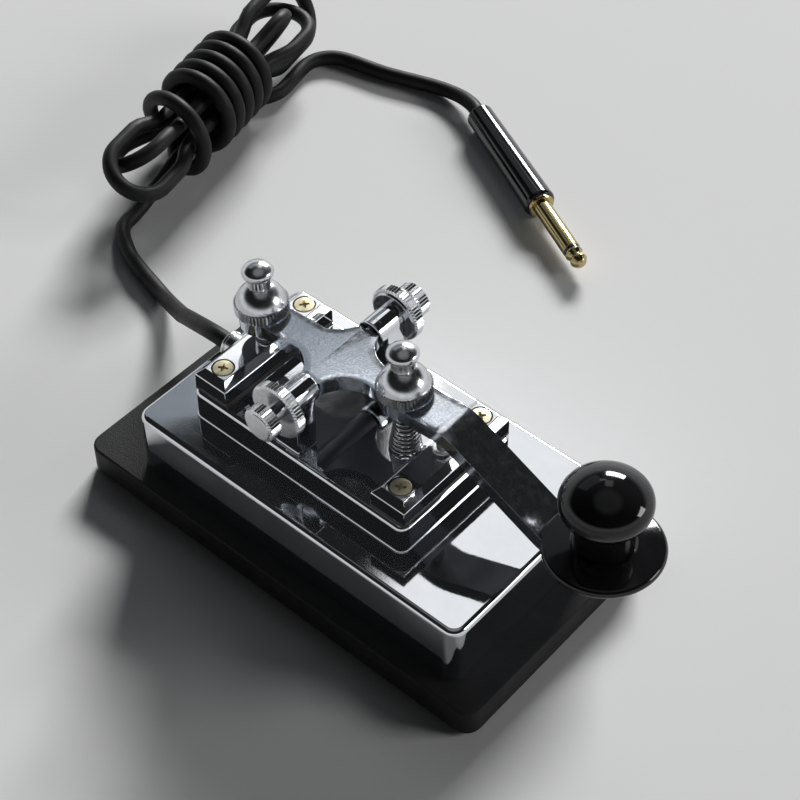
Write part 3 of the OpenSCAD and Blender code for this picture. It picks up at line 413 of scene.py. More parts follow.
class Effects:
    """Node groups that several finishes share."""

    def __init__(self) -> None:
        """Builds the groups once."""
        self.marks = self._marks()
        self.grain = self._grain()
        self.drift = self._drift()

    @staticmethod
    def _group(name: str, inputs: Sequence[tuple[str, str]], output: tuple[str, str]) -> tuple[Graph, dict, Callable]:
        """Starts a group with named sockets and returns its graph, its inputs and a way to close it."""
        tree = bpy.data.node_groups.new(name, "ShaderNodeTree")
        for label, kind in inputs:
            tree.interface.new_socket(label, in_out="INPUT", socket_type=kind)
        tree.interface.new_socket(output[0], in_out="OUTPUT", socket_type=output[1])
        graph = Graph(tree)
        entry = graph.add("NodeGroupInput")
        return graph, {label: entry.outputs[label] for label, _ in inputs}, lambda socket: graph.add(
            "NodeGroupOutput", {output[0]: socket})

    def _marks(self) -> bpy.types.NodeTree:
        """Handling marks: cloudy smears and fine rubbed lines that change the roughness."""
        graph, given, close = self._group("handling_marks", [("Vector", "NodeSocketVector"), ("Scale", "NodeSocketFloat"),
                                          ("Clean", "NodeSocketFloat"), ("Marked", "NodeSocketFloat")],
                                          ("Roughness", "NodeSocketFloat"))
        cloud = graph.add("ShaderNodeTexNoise", {"Vector": given["Vector"], "Scale": given["Scale"], "Detail": 5.0,
                                                 "Roughness": 0.6, "Distortion": 0.4})
        soft = graph.add("ShaderNodeMapRange", {"Value": cloud.outputs["Fac"], "From Min": 0.4, "From Max": 0.72})
        stretch = graph.add("ShaderNodeMapping", {"Vector": given["Vector"], "Rotation": (0.3, 0.2, 0.7),
                                                  "Scale": (1.0, 22.0, 5.0)})
        fine = graph.add("ShaderNodeMath", {0: given["Scale"], 1: 2.5}, operation="MULTIPLY")
        lines = graph.add("ShaderNodeTexNoise", {"Vector": stretch.outputs["Vector"], "Scale": fine.outputs[0],
                                                 "Detail": 2.0})
        thin = graph.add("ShaderNodeMapRange", {"Value": lines.outputs["Fac"], "From Min": 0.62, "From Max": 0.74,
                                                "To Max": 0.55})
        both = graph.add("ShaderNodeMath", {0: soft.outputs["Result"], 1: thin.outputs["Result"]}, operation="MAXIMUM")
        mixed = graph.add("ShaderNodeMix", {"Factor": both.outputs[0], "A": given["Clean"], "B": given["Marked"]})
        close(mixed.outputs["Result"])
        return graph.tree

    def _grain(self) -> bpy.types.NodeTree:
        """Fine surface grain as a height."""
        graph, given, close = self._group("fine_grain", [("Vector", "NodeSocketVector"), ("Scale", "NodeSocketFloat")],
                                          ("Height", "NodeSocketFloat"))
        coarse = graph.add("ShaderNodeTexNoise", {"Vector": given["Vector"], "Scale": given["Scale"], "Detail": 3.0})
        double = graph.add("ShaderNodeMath", {0: given["Scale"], 1: 2.3}, operation="MULTIPLY")
        cells = graph.add("ShaderNodeTexVoronoi", {"Vector": given["Vector"], "Scale": double.outputs[0]})
        total = graph.add("ShaderNodeMath", {0: coarse.outputs["Fac"], 1: cells.outputs["Distance"]}, operation="ADD")
        close(total.outputs[0])
        return graph.tree

    def _drift(self) -> bpy.types.NodeTree:
        """Slow drift between two tones."""
        graph, given, close = self._group("tone_drift", [("Vector", "NodeSocketVector"), ("Scale", "NodeSocketFloat"),
                                          ("Tone", "NodeSocketColor"), ("Second tone", "NodeSocketColor")],
                                          ("Color", "NodeSocketColor"))
        cloud = graph.add("ShaderNodeTexNoise", {"Vector": given["Vector"], "Scale": given["Scale"], "Detail": 6.0,
                                                 "Roughness": 0.65})
        soft = graph.add("ShaderNodeMapRange", {"Value": cloud.outputs["Fac"], "From Min": 0.35, "From Max": 0.68})
        mixed = graph.add("ShaderNodeMix", {"Factor": soft.outputs["Result"], "A": given["Tone"],
                                            "B": given["Second tone"]}, data_type="RGBA")
        close(mixed.outputs["Result"])
        return graph.tree


@dataclass(frozen=True)
class Finish:
    """A surface finish: its tones, gloss, marks and grain."""

    slot: str
    tone: Corner
    second: Corner
    metallic: float
    clean: float
    marked: float
    marks_scale: float
    grain_scale: float
    grain_depth: float
    drift_scale: float = 60.0
    coat: float = 0.0
    specular: float = 0.5
    # Roughness of the downward faces marked by a face attribute; when set, those faces also get a near-black base
    # colour, which is painted shade.
    raw: float = 0.0

    def material(self, effects: Effects) -> bpy.types.Material:
        """Builds the finish's material once.

        Args:
            effects: The shared node groups.

        Returns:
            The material.
        """
        found = bpy.data.materials.get("finish_" + self.slot)
        if found:
            return found
        made = bpy.data.materials.new("finish_" + self.slot)
        made.use_nodes = True
        graph = Graph(made.node_tree)
        shader = made.node_tree.nodes["Principled BSDF"]
        place = graph.add("ShaderNodeTexCoord").outputs["Object"]
        tone = graph.add("ShaderNodeGroup", node_tree=effects.drift)
        marks = graph.add("ShaderNodeGroup", node_tree=effects.marks)
        grain = graph.add("ShaderNodeGroup", node_tree=effects.grain)
        for node in (tone, marks, grain):
            made.node_tree.links.new(place, node.inputs["Vector"])
        tone.inputs["Scale"].default_value = self.drift_scale
        tone.inputs["Tone"].default_value = (*self.tone, 1.0)
        tone.inputs["Second tone"].default_value = (*self.second, 1.0)
        marks.inputs["Scale"].default_value = self.marks_scale
        marks.inputs["Clean"].default_value = self.clean
        marks.inputs["Marked"].default_value = self.marked
        grain.inputs["Scale"].default_value = self.grain_scale
        bump = graph.add("ShaderNodeBump", {"Height": grain.outputs["Height"], "Strength": 1.0,
                                            "Distance": self.grain_depth})
        colour, rough = tone.outputs["Color"], marks.outputs["Roughness"]
        # Painted shade: faces marked by the attribute (the lever's downward faces) are mixed to a near-black colour,
        # and their roughness is raised.
        if self.raw:
            painted_shade_mask = graph.add("ShaderNodeAttribute", attribute_name="raw").outputs["Fac"]
            colour = graph.add("ShaderNodeMix", {"Factor": painted_shade_mask, "A": colour, "B": (0.06, 0.06, 0.065, 1.0)},
                               data_type="RGBA").outputs["Result"]
            rough = graph.add("ShaderNodeMix", {"Factor": painted_shade_mask, "A": rough, "B": self.raw}).outputs["Result"]
        for socket, key in ((colour, "Base Color"), (rough, "Roughness"), (bump.outputs["Normal"], "Normal")):
            made.node_tree.links.new(socket, shader.inputs[key])
        shader.inputs["Metallic"].default_value = self.metallic
        shader.inputs["Specular IOR Level"].default_value = self.specular
        shader.inputs["Coat Weight"].default_value = self.coat
        shader.inputs["Coat Roughness"].default_value = 0.05
        return made


MIRROR = Finish("mirror_chrome", (0.78, 0.80, 0.83), (0.72, 0.74, 0.77), 1.0, 0.03, 0.09, 45.0, 900.0, 0.0000010)
SATIN = Finish("satin_chrome", (0.90, 0.94, 1.0), (0.46, 0.50, 0.57), 1.0, 0.11, 0.18, 420.0, 1700.0, 0.000003,
               drift_scale=2600.0, raw=0.5)
NICKEL = Finish("bright_nickel", (0.70, 0.71, 0.73), (0.56, 0.57, 0.59), 1.0, 0.16, 0.27, 260.0, 1800.0, 0.000004,
                drift_scale=600.0)
STEEL = Finish("plain_steel", (0.58, 0.59, 0.60), (0.46, 0.47, 0.48), 1.0, 0.3, 0.45, 200.0, 2000.0, 0.000006)
SILVER = Finish("contact_silver", (0.75, 0.75, 0.76), (0.58, 0.57, 0.55), 1.0, 0.25, 0.45, 300.0, 2500.0, 0.000005)
SPRING = Finish("spring_steel", (0.26, 0.26, 0.27), (0.18, 0.18, 0.19), 1.0, 0.16, 0.3, 400.0, 3000.0, 0.000003)
BRASS = Finish("pale_brass", (0.70, 0.64, 0.45), (0.58, 0.52, 0.34), 1.0, 0.3, 0.4, 260.0, 2200.0, 0.000004)
TERMINAL = Finish("terminal_brass", (0.75, 0.62, 0.30), (0.62, 0.50, 0.24), 1.0, 0.25, 0.4, 260.0, 2200.0, 0.000004)
GOLD = Finish("plug_gold", (0.55, 0.45, 0.23), (0.44, 0.36, 0.17), 1.0, 0.12, 0.24, 240.0, 2600.0, 0.000003)
BLACK_PAINT = Finish("base_black", (0.016, 0.016, 0.017), (0.024, 0.024, 0.026), 0.0, 0.52, 0.66, 40.0, 1300.0, 0.00006,
                     specular=0.2)
RUBBER_PAD = Finish("pad_rubber", (0.028, 0.028, 0.028), (0.040, 0.040, 0.040), 0.0, 0.7, 0.85, 60.0, 1600.0, 0.00004)
BOARD = Finish("strip_fibre", (0.055, 0.046, 0.040), (0.085, 0.070, 0.055), 0.0, 0.5, 0.65, 200.0, 2500.0, 0.00002,
               drift_scale=500.0)
NYLON = Finish("bush_nylon", (0.80, 0.78, 0.72), (0.74, 0.71, 0.64), 0.0, 0.4, 0.5, 200.0, 2500.0, 0.00001)
LEAD_SKIN = Finish("lead_skin", (0.45, 0.10, 0.08), (0.38, 0.08, 0.06), 0.0, 0.4, 0.5, 200.0, 2500.0, 0.00001)
PHENOLIC = Finish("knob_black", (0.007, 0.007, 0.008), (0.011, 0.011, 0.012), 0.0, 0.05, 0.16, 55.0, 1200.0, 0.0000015,
                  coat=0.1, specular=0.35)
CORD_RUBBER = Finish("cord_rubber", (0.010, 0.010, 0.011), (0.016, 0.016, 0.017), 0.0, 0.46, 0.6, 160.0, 2200.0, 0.00002,
                     drift_scale=140.0, specular=0.2)
PLUG_BLACK = Finish("plug_black", (0.008, 0.008, 0.009), (0.013, 0.013, 0.014), 0.0, 0.06, 0.14, 90.0, 1500.0, 0.000002,
                    coat=0.3)


class Workshop:
    """Turns forms into dressed pieces that ride on the frame."""

    def __init__(self) -> None:
        """Makes the shared effects ready."""
        self.effects = Effects()

    def dress(self, made: bpy.types.Object, finish: Finish, body: Body, nodes: Iterable[str]) -> bpy.types.Object:
        """Gives an object its finish, puts it on its body and hides the solids that it stands for.

        Args:
            made: The object.
            finish: Its finish.
            body: The body that it rides on.
            nodes: The solids that it replaces.

        Returns:
            The object.
        """
        made.data.materials.clear()
        made.data.materials.append(finish.material(self.effects))
        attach(made, body.value)
        if nodes:
            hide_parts(*nodes)
        LOG.info("%s in %s on %s", made.name, finish.slot, body.value)
        return made

    def place(self, name: str, form: Form, finish: Finish, body: Body, nodes: Iterable[str],
              smooth: float = 32.0) -> bpy.types.Object:
        """Makes a finished piece of a form.

        Args:
            name: The piece's name.
            form: Its mesh in millimetres.
            finish: Its finish.
            body: The body that it rides on.
            nodes: The solids that it replaces.
            smooth: Angle in degrees below which edges are shaded smooth.

        Returns:
            The piece.
        """
        bmesh.ops.scale(form.bm, verts=form.bm.verts, vec=(MM, MM, MM))
        mesh = bpy.data.meshes.new(name)
        form.bm.to_mesh(mesh)
        form.bm.free()
        mesh.polygons.foreach_set("use_smooth", [True] * len(mesh.polygons))
        mesh.set_sharp_from_angle(angle=math.radians(smooth))
        made = bpy.data.objects.new(name, mesh)
        bpy.context.scene.collection.objects.link(made)
        even = made.modifiers.new("even_normals", "WEIGHTED_NORMAL")
        even.keep_sharp = True
        return self.dress(made, finish, body, nodes)

    def keep(self, node: str, finish: Finish) -> None:
        """Dresses a solid of the frame that stays as it is."""
        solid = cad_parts[node]
        solid.data.materials.clear()
        solid.data.materials.append(finish.material(self.effects))
        LOG.info("%s kept in %s", node, finish.slot)


@dataclass
class PhotoCamera:
    """The camera at the photograph's viewing angle."""

    lens: float = 85.18
    azimuth: float = 40.32
    elevation: float = 47.70
    roll: float = 0.59
    across: float = 11.34
    upward: float = 34.28
    away: float = 569.4

    def build(self) -> None:
        """Makes the camera and hands it to the scene."""
        a, e, r = (math.radians(v) for v in (self.azimuth, self.elevation, self.roll))
        back = Vector((math.sin(a) * math.cos(e), -math.cos(a) * math.cos(e), math.sin(e)))
        level = Vector((math.cos(a), math.sin(a), 0.0))
        upright = back.cross(level)
        right = math.cos(r) * level + math.sin(r) * upright
        up = -math.sin(r) * level + math.cos(r) * upright
        place = (back * self.away + right * self.across + up * self.upward) * MM
        data = bpy.data.cameras.new("photo_camera")
        data.lens, data.sensor_width, data.sensor_fit = self.lens, 36.0, "AUTO"
        data.clip_start, data.clip_end = 0.01, 20.0
        made = bpy.data.objects.new("photo_camera", data)
        bpy.context.scene.collection.objects.link(made)
        made.matrix_world = Matrix((
            (right.x, up.x, back.x, place.x), (right.y, up.y, back.y, place.y),
            (right.z, up.z, back.z, place.z), (0.0, 0.0, 0.0, 1.0)))
        bpy.context.scene.camera = made


@dataclass(frozen=True)
class Softbox:
    """A soft rectangular lamp, placed by its direction from the key."""

    name: str
    azimuth: float
    elevation: float
    away: float
    width: float
    height: float
    glow: float
    tint: Corner = (1.0, 1.0, 1.0)

    def build(self) -> None:
        """Makes the lamp, facing the key, with its brightness per area."""
        a, e = math.radians(self.azimuth), math.radians(self.elevation)
        toward = Vector((math.cos(a) * math.cos(e), math.sin(a) * math.cos(e), math.sin(e)))
        data = bpy.data.lights.new(self.name, "AREA")
        data.shape, data.size, data.size_y = "RECTANGLE", self.width, self.height
        data.energy = self.glow * math.pi * self.width * self.height
        data.color = self.tint
        made = bpy.data.objects.new(self.name, data)
        bpy.context.scene.collection.objects.link(made)
        made.location = toward * self.away + Vector((0.0, 0.03, 0.04))
        made.rotation_euler = toward.to_track_quat("Z", "Y").to_euler()


@dataclass
class Studio:
    """The pale floor and the soft light."""

    floor: float = 2.6
    tone: float = 0.88
    sky: float = 0.015
    pale: float = 0.8
    ceiling: float = 0.2
    lamps: tuple[Softbox, ...] = (
        Softbox("key_softbox", 115.0, 27.0, 10.0, 3.84, 1.92, 52.0),
        Softbox("front_softbox", 122.5, 53.5, 3.0, 0.58, 0.76, 1.0),
        Softbox("rear_softbox", 134.5, 44.6, 3.0, 0.46, 0.25, 1.2),
        Softbox("rear_panel", 158.0, 38.5, 4.0, 2.2, 1.55, 0.3, (0.84, 0.92, 1.0)),
        Softbox("right_softbox", 35.0, 24.0, 6.0, 2.14, 1.72, 8.0),
    )

    def build(self) -> None:
        """Makes the floor, the lamps and the world."""
        bm = bmesh.new()
        bmesh.ops.create_circle(bm, cap_ends=True, segments=96, radius=self.floor)
        mesh = bpy.data.meshes.new("floor")
        bm.to_mesh(mesh)
        bm.free()
        floor = bpy.data.objects.new("floor", mesh)
        bpy.context.scene.collection.objects.link(floor)
        paper = bpy.data.materials.new("paper")
        paper.use_nodes = True
        shader = paper.node_tree.nodes["Principled BSDF"]
        shader.inputs["Base Color"].default_value = (self.tone, self.tone, self.tone, 1.0)
        shader.inputs["Roughness"].default_value = 0.9
        shader.inputs["Specular IOR Level"].default_value = 0.1
        mesh.materials.append(paper)
        world = bpy.data.worlds.new("studio")
        world.use_nodes = True
        graph = Graph(world.node_tree)
        backdrop = world.node_tree.nodes["Background"]
        backdrop.inputs["Color"].default_value = (0.96, 0.98, 1.0, 1.0)
        aim = graph.add("ShaderNodeSeparateXYZ", {"Vector": graph.add("ShaderNodeTexCoord").outputs["Generated"]})
        low = graph.add("ShaderNodeMapRange", {"Value": aim.outputs["Z"], "From Min": 0.24, "From Max": 0.42,
                                               "To Min": 1.0, "To Max": 0.0})
        high = graph.add("ShaderNodeMapRange", {"Value": aim.outputs["Z"], "From Min": 0.88, "From Max": 0.95,
                                                "To Max": self.ceiling / self.pale})
        room = graph.add("ShaderNodeMath", {0: low.outputs["Result"], 1: high.outputs["Result"]}, operation="MAXIMUM")
        path = graph.add("ShaderNodeLightPath").outputs
        seen = graph.add("ShaderNodeMath", {0: path["Is Camera Ray"], 1: path["Is Glossy Ray"]}, operation="MAXIMUM")
        seen = graph.add("ShaderNodeMath", {0: seen.outputs[0], 1: path["Is Transmission Ray"]}, operation="MAXIMUM")
        share = graph.add("ShaderNodeMath", {0: seen.outputs[0], 1: room.outputs[0]}, operation="MULTIPLY")
        level = graph.add("ShaderNodeMapRange", {"Value": share.outputs[0], "To Min": self.sky, "To Max": self.pale})
        world.node_tree.links.new(level.outputs["Result"], backdrop.inputs["Strength"])
        bpy.context.scene.world = world
        for lamp in self.lamps:
            lamp.build()
        bpy.context.scene.view_settings.view_transform = "Standard"


def ease(share: float) -> float:
    """Eases a share from 0 to 1 with level ends."""
    held = max(0.0, min(1.0, share))
    return held * held * (3.0 - 2.0 * held)


@dataclass
class HankedCord:
    """The practice cord: from the gland to its wound hank and on to the plug."""

    diameter: float = 5.4
    gland: Corner = (-52.3, 0.0, 38.3)
    plug: Corner = (-88.5, 163.8, 5.75)
    plug_turn: float = -27.0
    middle: Point = (-158.1, 93.9)
    turned: float = 102.5
    loops: int = 3
    turns: int = 6
    core: float = 7.2
    ends: float = 12.0
    top: float = 70.0
    low: float = -56.0
    step: float = 8.6
    bow: float = 11.0
    waist_low: float = -20.0
    waist_high: float = 28.0
    flare: float = 15.0
    entry: Point = (-50.0, 1.5)
    last_run: float = -6.0
    dive: float = 16.0
    swing: float = 80.0
    ramp: float = 16.0
    pitch: float = 6.2
    exit_radius: float = 11.5
    exit_at: float = 42.0
    key_route: tuple[Corner, ...] = (
        (-64.6, 1.7, 35.4), (-72.4, 4.5, 30.7), (-79.5, 8.1, 24.9), (-86.3, 12.0, 18.6), (-93.0, 16.2, 12.6),
        (-100.2, 20.1, 7.4), (-108.3, 23.6, 3.8), (-116.0, 26.0, 2.8), (-124.1, 28.1, 2.8), (-131.5, 30.5, 2.8),
        (-138.0, 33.9, 2.8), (-142.0, 36.7, 2.8))
    plug_route: tuple[Corner, ...] = (
        (-157.7, 147.2, 2.8), (-156.6, 152.0, 2.8), (-154.0, 155.6, 2.8), (-150.3, 158.0, 2.8), (-145.7, 159.4, 2.8),
        (-140.7, 160.4, 2.8), (-133.0, 161.9, 2.8), (-125.9, 164.1, 2.8), (-119.0, 166.5, 2.8), (-112.1, 168.4, 3.0),
        (-106.5, 168.9, 3.6), (-100.0, 168.4, 4.6))

    @property
    def wrap(self) -> float:
        """Radius of the turns round the bundle."""
        return self.core + self.diameter + 0.9

    def run_radius(self, along: float) -> float:
        """Radius of the runs at a distance along the hank."""
        over = (along - self.waist_high) if along > self.waist_high else (self.waist_low - along)
        return self.core + (self.ends - self.core) * ease(over / self.flare)

    def run_angle(self, run: int) -> float:
        """Angle of a run round the hank's axis."""
        return -60.0 + 180.0 * run + 180.0 / self.loops * (run // 2)

    def run_start(self, run: int) -> float:
        """Where a run starts along the hank."""
        if run == 0:
            return self.waist_low
        if run % 2:
            return self.top - self.step * (run - 1) / 2 - self.bow
        return self.low + self.step * (run / 2 - 1) + self.bow

    @staticmethod
    def at(along: float, radius: float, angle: float) -> Vector:
        """A point of the hank in its own frame."""
        turn = math.radians(angle)
        return Vector((along, radius * math.cos(turn), radius * math.sin(turn)))

    def run_point(self, run: int, along: float) -> Vector:
        """A point of a run."""
        return self.at(along, self.run_radius(along), self.run_angle(run))

    def entry_points(self) -> list[Vector]:
        """The cord comes in under the lower loops."""
        end = self.at(0.0, self.core, self.run_angle(0))
        points = []
        for i in range(20):
            rise = ease(i / 20)
            points.append(Vector((self.entry[0] + (self.waist_low - self.entry[0]) * i / 20,
                                  self.entry[1] + (end.y - self.entry[1]) * rise,
                                  -self.wrap + (end.z + self.wrap) * rise)))
        return points

    def run_points(self) -> list[Vector]:
        """The straight runs and the flat bows that join them."""
        points = []
        final = 2 * self.loops - 1
        for run in range(final + 1):
            start = self.run_start(run)
            end = self.last_run if run == final else self.run_start(run + 1)
            points += [self.run_point(run, start + (end - start) * i / 30) for i in range(30)]
            if run == final:
                break
            side = Vector((self.bow if run % 2 == 0 else -self.bow, 0.0, 0.0))
            leave, meet = self.run_point(run, end), self.run_point(run + 1, end)
            for i in range(24):
                t = math.pi * i / 24
                points.append((leave + meet) / 2 + (leave - meet) / 2 * math.cos(t) + side * math.sin(t))
        return points

    def wound_points(self) -> list[Vector]:
        """The last run swings out and winds round the bundle, then leaves along the floor."""
        angle = self.run_angle(2 * self.loops - 1)
        points = []
        for i in range(24):
            share = i / 24
            points.append(self.at(self.last_run - self.dive * (1.0 - (1.0 - share) ** 2),
                                  self.core + (self.wrap - self.core) * ease(share),
                                  angle + self.swing * share * share))
        wound = 360.0 * self.turns - (angle + self.swing + 90.0) % 360.0
        steps = round(wound / 7.0)
        for i in range(steps + 1):
            turn = wound * i / steps
            t = turn / 360.0
            rise = self.ramp * t * t * (2.0 - t) if t < 1.0 else self.ramp + self.pitch * (t - 1.0)
            points.append(self.at(self.last_run - self.dive + rise, self.wrap, angle + self.swing + turn))
        top = points[-1].x
        for t in range(10, 91, 10):
            points.append(Vector((top + self.exit_radius * (1.0 - math.cos(math.radians(t))),
                                  self.exit_radius * math.sin(math.radians(t)), -self.wrap)))
        points.append(Vector((self.exit_at, self.exit_radius, -self.wrap)))
        return points

    def hank(self) -> list[Vector]:
        """The hank's points in the key's frame."""
        turn = math.radians(self.turned)
        along = Vector((math.cos(turn), math.sin(turn), 0.0))
        aside = Vector((math.sin(turn), -math.cos(turn), 0.0))
        middle = Vector((*self.middle, self.wrap + self.diameter / 2 + 0.05))
        points = self.entry_points() + self.run_points() + self.wound_points()
        return [middle + p.x * along + p.y * aside + Vector((0.0, 0.0, p.z)) for p in points]

    @staticmethod
    def smooth(points: Sequence[Vector], parts: int) -> list[Vector]:
        """Lays a smooth line through points.

        Args:
            points: The points.
            parts: Parts between each two of them.

        Returns:
            The finer points.
        """
        fine: list[Vector] = []
        for i in range(len(points) - 1):
            a, b = points[max(i - 1, 0)], points[i]
            c, d = points[i + 1], points[min(i + 2, len(points) - 1)]
            for k in range(parts):
                t = k / parts
                fine.append(0.5 * (2 * b + (c - a) * t + (2 * a - 5 * b + 4 * c - d) * t * t
                                   + (3 * b - a - 3 * c + d) * t ** 3))
        return fine + [points[-1]]

    def route(self) -> list[Vector]:
        """The whole cord's middle line, in millimetres."""
        hank = self.hank()
        turn = math.radians(self.turned)
        along = Vector((math.cos(turn), math.sin(turn), 0.0)) * self.diameter
        ahead = Vector((math.cos(math.radians(self.plug_turn)), math.sin(math.radians(self.plug_turn)), 0.0))
        gland, plug = Vector(self.gland), Vector(self.plug)
        first = [gland, gland - Vector((self.diameter, 0.0, 0.0)), *map(Vector, self.key_route), hank[0] - along, hank[0]]
        last = [hank[-1], hank[-1] + along, *map(Vector, self.plug_route), plug - ahead * self.diameter, plug]
        return self.smooth(first, 5)[:-1] + hank + self.smooth(last, 5)[1:]

    def build(self, shop: Workshop, ends: Sequence[bpy.types.Object | str]) -> bpy.types.Object:
        """Args:
            shop: The workshop.
            ends: The pieces on the cord; not used.

        Returns:
            The cord.
        """
        points = [tuple(p * MM) for p in self.route()]
        curve = wire_curve("cord", points, self.diameter / 2 * MM, 5)
        made = bpy.data.objects.new("cord", curve)
        bpy.context.scene.collection.objects.link(made)
        shop.dress(made, CORD_RUBBER, Body.STAND, ["cord_key_run", "cord_hank", "cord_plug_run"])
        return made


@dataclass
class JackPlug:
    """The jack plug on the cord's end."""

    tail: Corner = (-88.5, 163.8, 5.75)
    turned: float = -27.0
    barrel: float = 53.0
    mouth: float = 5.7
    neck: float = 4.9
    shaft: float = 3.175
    reach: float = 32.6
    tip: float = 6.6
    ring: float = 1.3
    collar: float = 1.2

    def lay(self, form: Form) -> Form:
        """Lays a form that stands on the tail along the plug."""
        return form.turn(90.0, "Y").turn(self.turned, "Z").move(self.tail)

    def build(self, shop: Workshop) -> list[bpy.types.Object]:
        """Makes the plug's pieces.

        Args:
            shop: The workshop.

        Returns:
            The pieces.
        """
        b, end = self.barrel, self.barrel + self.reach
        ring = end - self.tip - self.ring
        barrel = Form().lathe(rounded([
            (0.0, 0.0, 0.0), (3.9, 0.0, 0.4), (self.neck, 1.2, 0.6), (self.mouth, b - 1.0, 0.8),
            (self.mouth - 0.6, b, 0.3), (4.75, b, 0.0), (4.75, b - 4.0, 0.0), (0.0, b - 4.0, 0.0)]))
        collar = Form().lathe(rounded([
            (0.0, b - 3.9, 0.0), (4.7, b - 3.9, 0.0), (4.7, b + 0.7, 0.4), (4.2, b + self.collar, 0.2),
            (0.0, b + self.collar, 0.0)]))
        sleeve = Form().lathe(rounded([
            (0.0, b + 0.5, 0.0), (self.shaft, b + 0.5, 0.0), (self.shaft, ring, 0.15), (0.0, ring, 0.0)]))
        washer = Form().lathe(rounded([
            (0.0, ring, 0.0), (self.shaft - 0.22, ring, 0.1), (self.shaft - 0.22, ring + self.ring, 0.1),
            (0.0, ring + self.ring, 0.0)]))
        t = end - self.tip
        tip = Form().lathe(rounded([
            (0.0, t, 0.0), (0.95 * self.shaft, t, 0.1), (self.shaft, t + 0.66, 0.4), (0.66 * self.shaft, t + 2.4, 0.7),
            (0.94 * self.shaft, t + 3.8, 0.6), (0.94 * self.shaft, t + 4.4, 0.6), (0.62 * self.shaft, t + 5.9, 0.6),
            (0.3 * self.shaft, end, 0.4), (0.0, end, 0.0)], steps=7))
        return [
            shop.place("plug_barrel_shell", self.lay(barrel), PLUG_BLACK, Body.STAND, ["plug_barrel"]),
            shop.place("plug_collar_ring", self.lay(collar), GOLD, Body.STAND, ["plug_collar"]),
            shop.place("plug_sleeve_shaft", self.lay(sleeve), GOLD, Body.STAND, ["plug_sleeve"]),
            shop.place("plug_washer", self.lay(washer), PLUG_BLACK, Body.STAND, ["plug_insulating_ring"]),
            shop.place("plug_point", self.lay(tip), GOLD, Body.STAND, ["plug_tip"]),
        ]


@dataclass
class Base:
    """The black base with its rubber pad."""

    length: float = 150.0
    width: float = 82.0
    radius: float = 5.0
    edge: float = 0.8

    def build(self, shop: Workshop) -> None:
        """Makes the base plate and dresses the pad and the screws under it."""
        plate = Form().slab(round_rect(self.length, self.width, self.radius), AT.pad, AT.body)
        plate.soften(self.edge, 5, rim(AT.body)).soften(0.4, 2, rim(AT.pad))
        shop.place("base_plate_block", plate, BLACK_PAINT, Body.STAND, ["base_plate"])
        shop.keep("base_pad", RUBBER_PAD)
        shop.keep("body_screws", STEEL)


@dataclass
class Casting:
    """The chromed body with its raised plinth."""

    length: float = 121.5
    width: float = 71.0
    radius: float = 4.5
    edge: float = 1.8
    shift: float = 4.0
    plinth_length: float = 80.0
    plinth_width: float = 47.7
    plinth_radius: float = 3.0
    plinth_edge: float = 1.4
    plinth_shift: float = -3.9
    wall: float = 4.0
    slot_length: float = 71.8
    slot_width: float = 16.0

    def build(self, shop: Workshop) -> None:
        """Makes the casting, hollow underneath, and dresses what is inside it."""
        outer = round_rect(self.length, self.width, self.radius, self.shift)
        plinth = round_rect(self.plinth_length, self.plinth_width, self.plinth_radius, self.plinth_shift)
        inner = round_rect(self.length - 2 * self.wall, self.width - 2 * self.wall, 2.0, self.shift)
        slot = round_rect(self.slot_length, self.slot_width, 2.0, self.plinth_shift + 1.9)
        form = Form().slab(outer, AT.body, AT.deck)
        flats = sorted((f for f in form.bm.faces if len(f.verts) == len(outer)), key=lambda f: f.calc_center_median().z)
        form.step(flats[1], outer, plinth, AT.plinth - AT.deck)
        roof = form.step(flats[0], outer, inner, AT.pocket - AT.body)
        form.step(roof, inner, slot, AT.slot - AT.pocket)
        bmesh.ops.recalc_face_normals(form.bm, faces=form.bm.faces)
        form.soften(self.plinth_edge, 6, rim(AT.plinth)).soften(self.edge, 7, self.outer_rim)
        form.soften(0.5, 3, self.plinth_foot).soften(0.3, 2, rim(AT.body))
        shop.place("body_shell", form, MIRROR, Body.STAND, ["body_casting"])
        for node, finish in (("front_bush", NYLON), ("terminal_nut", TERMINAL), ("terminal_tags", TERMINAL),
                             ("ground_screw", TERMINAL), ("post_screws", STEEL)):
            shop.keep(node, finish)

    def outer_rim(self, edge: bmesh.types.BMEdge) -> bool:
        """Picks the rim of the body's upper face."""
        far = all(abs(v.co.x - self.shift) > self.length / 2 - 6 or abs(v.co.y) > self.width / 2 - 6 for v in edge.verts)
        return far and rim(AT.deck)(edge)

    def plinth_foot(self, edge: bmesh.types.BMEdge) -> bool:
        """Picks the inner corner round the plinth's foot."""
        near = all(abs(v.co.y) < self.plinth_width / 2 + 0.1 for v in edge.verts)
        return near and rim(AT.deck, 60.0)(edge)


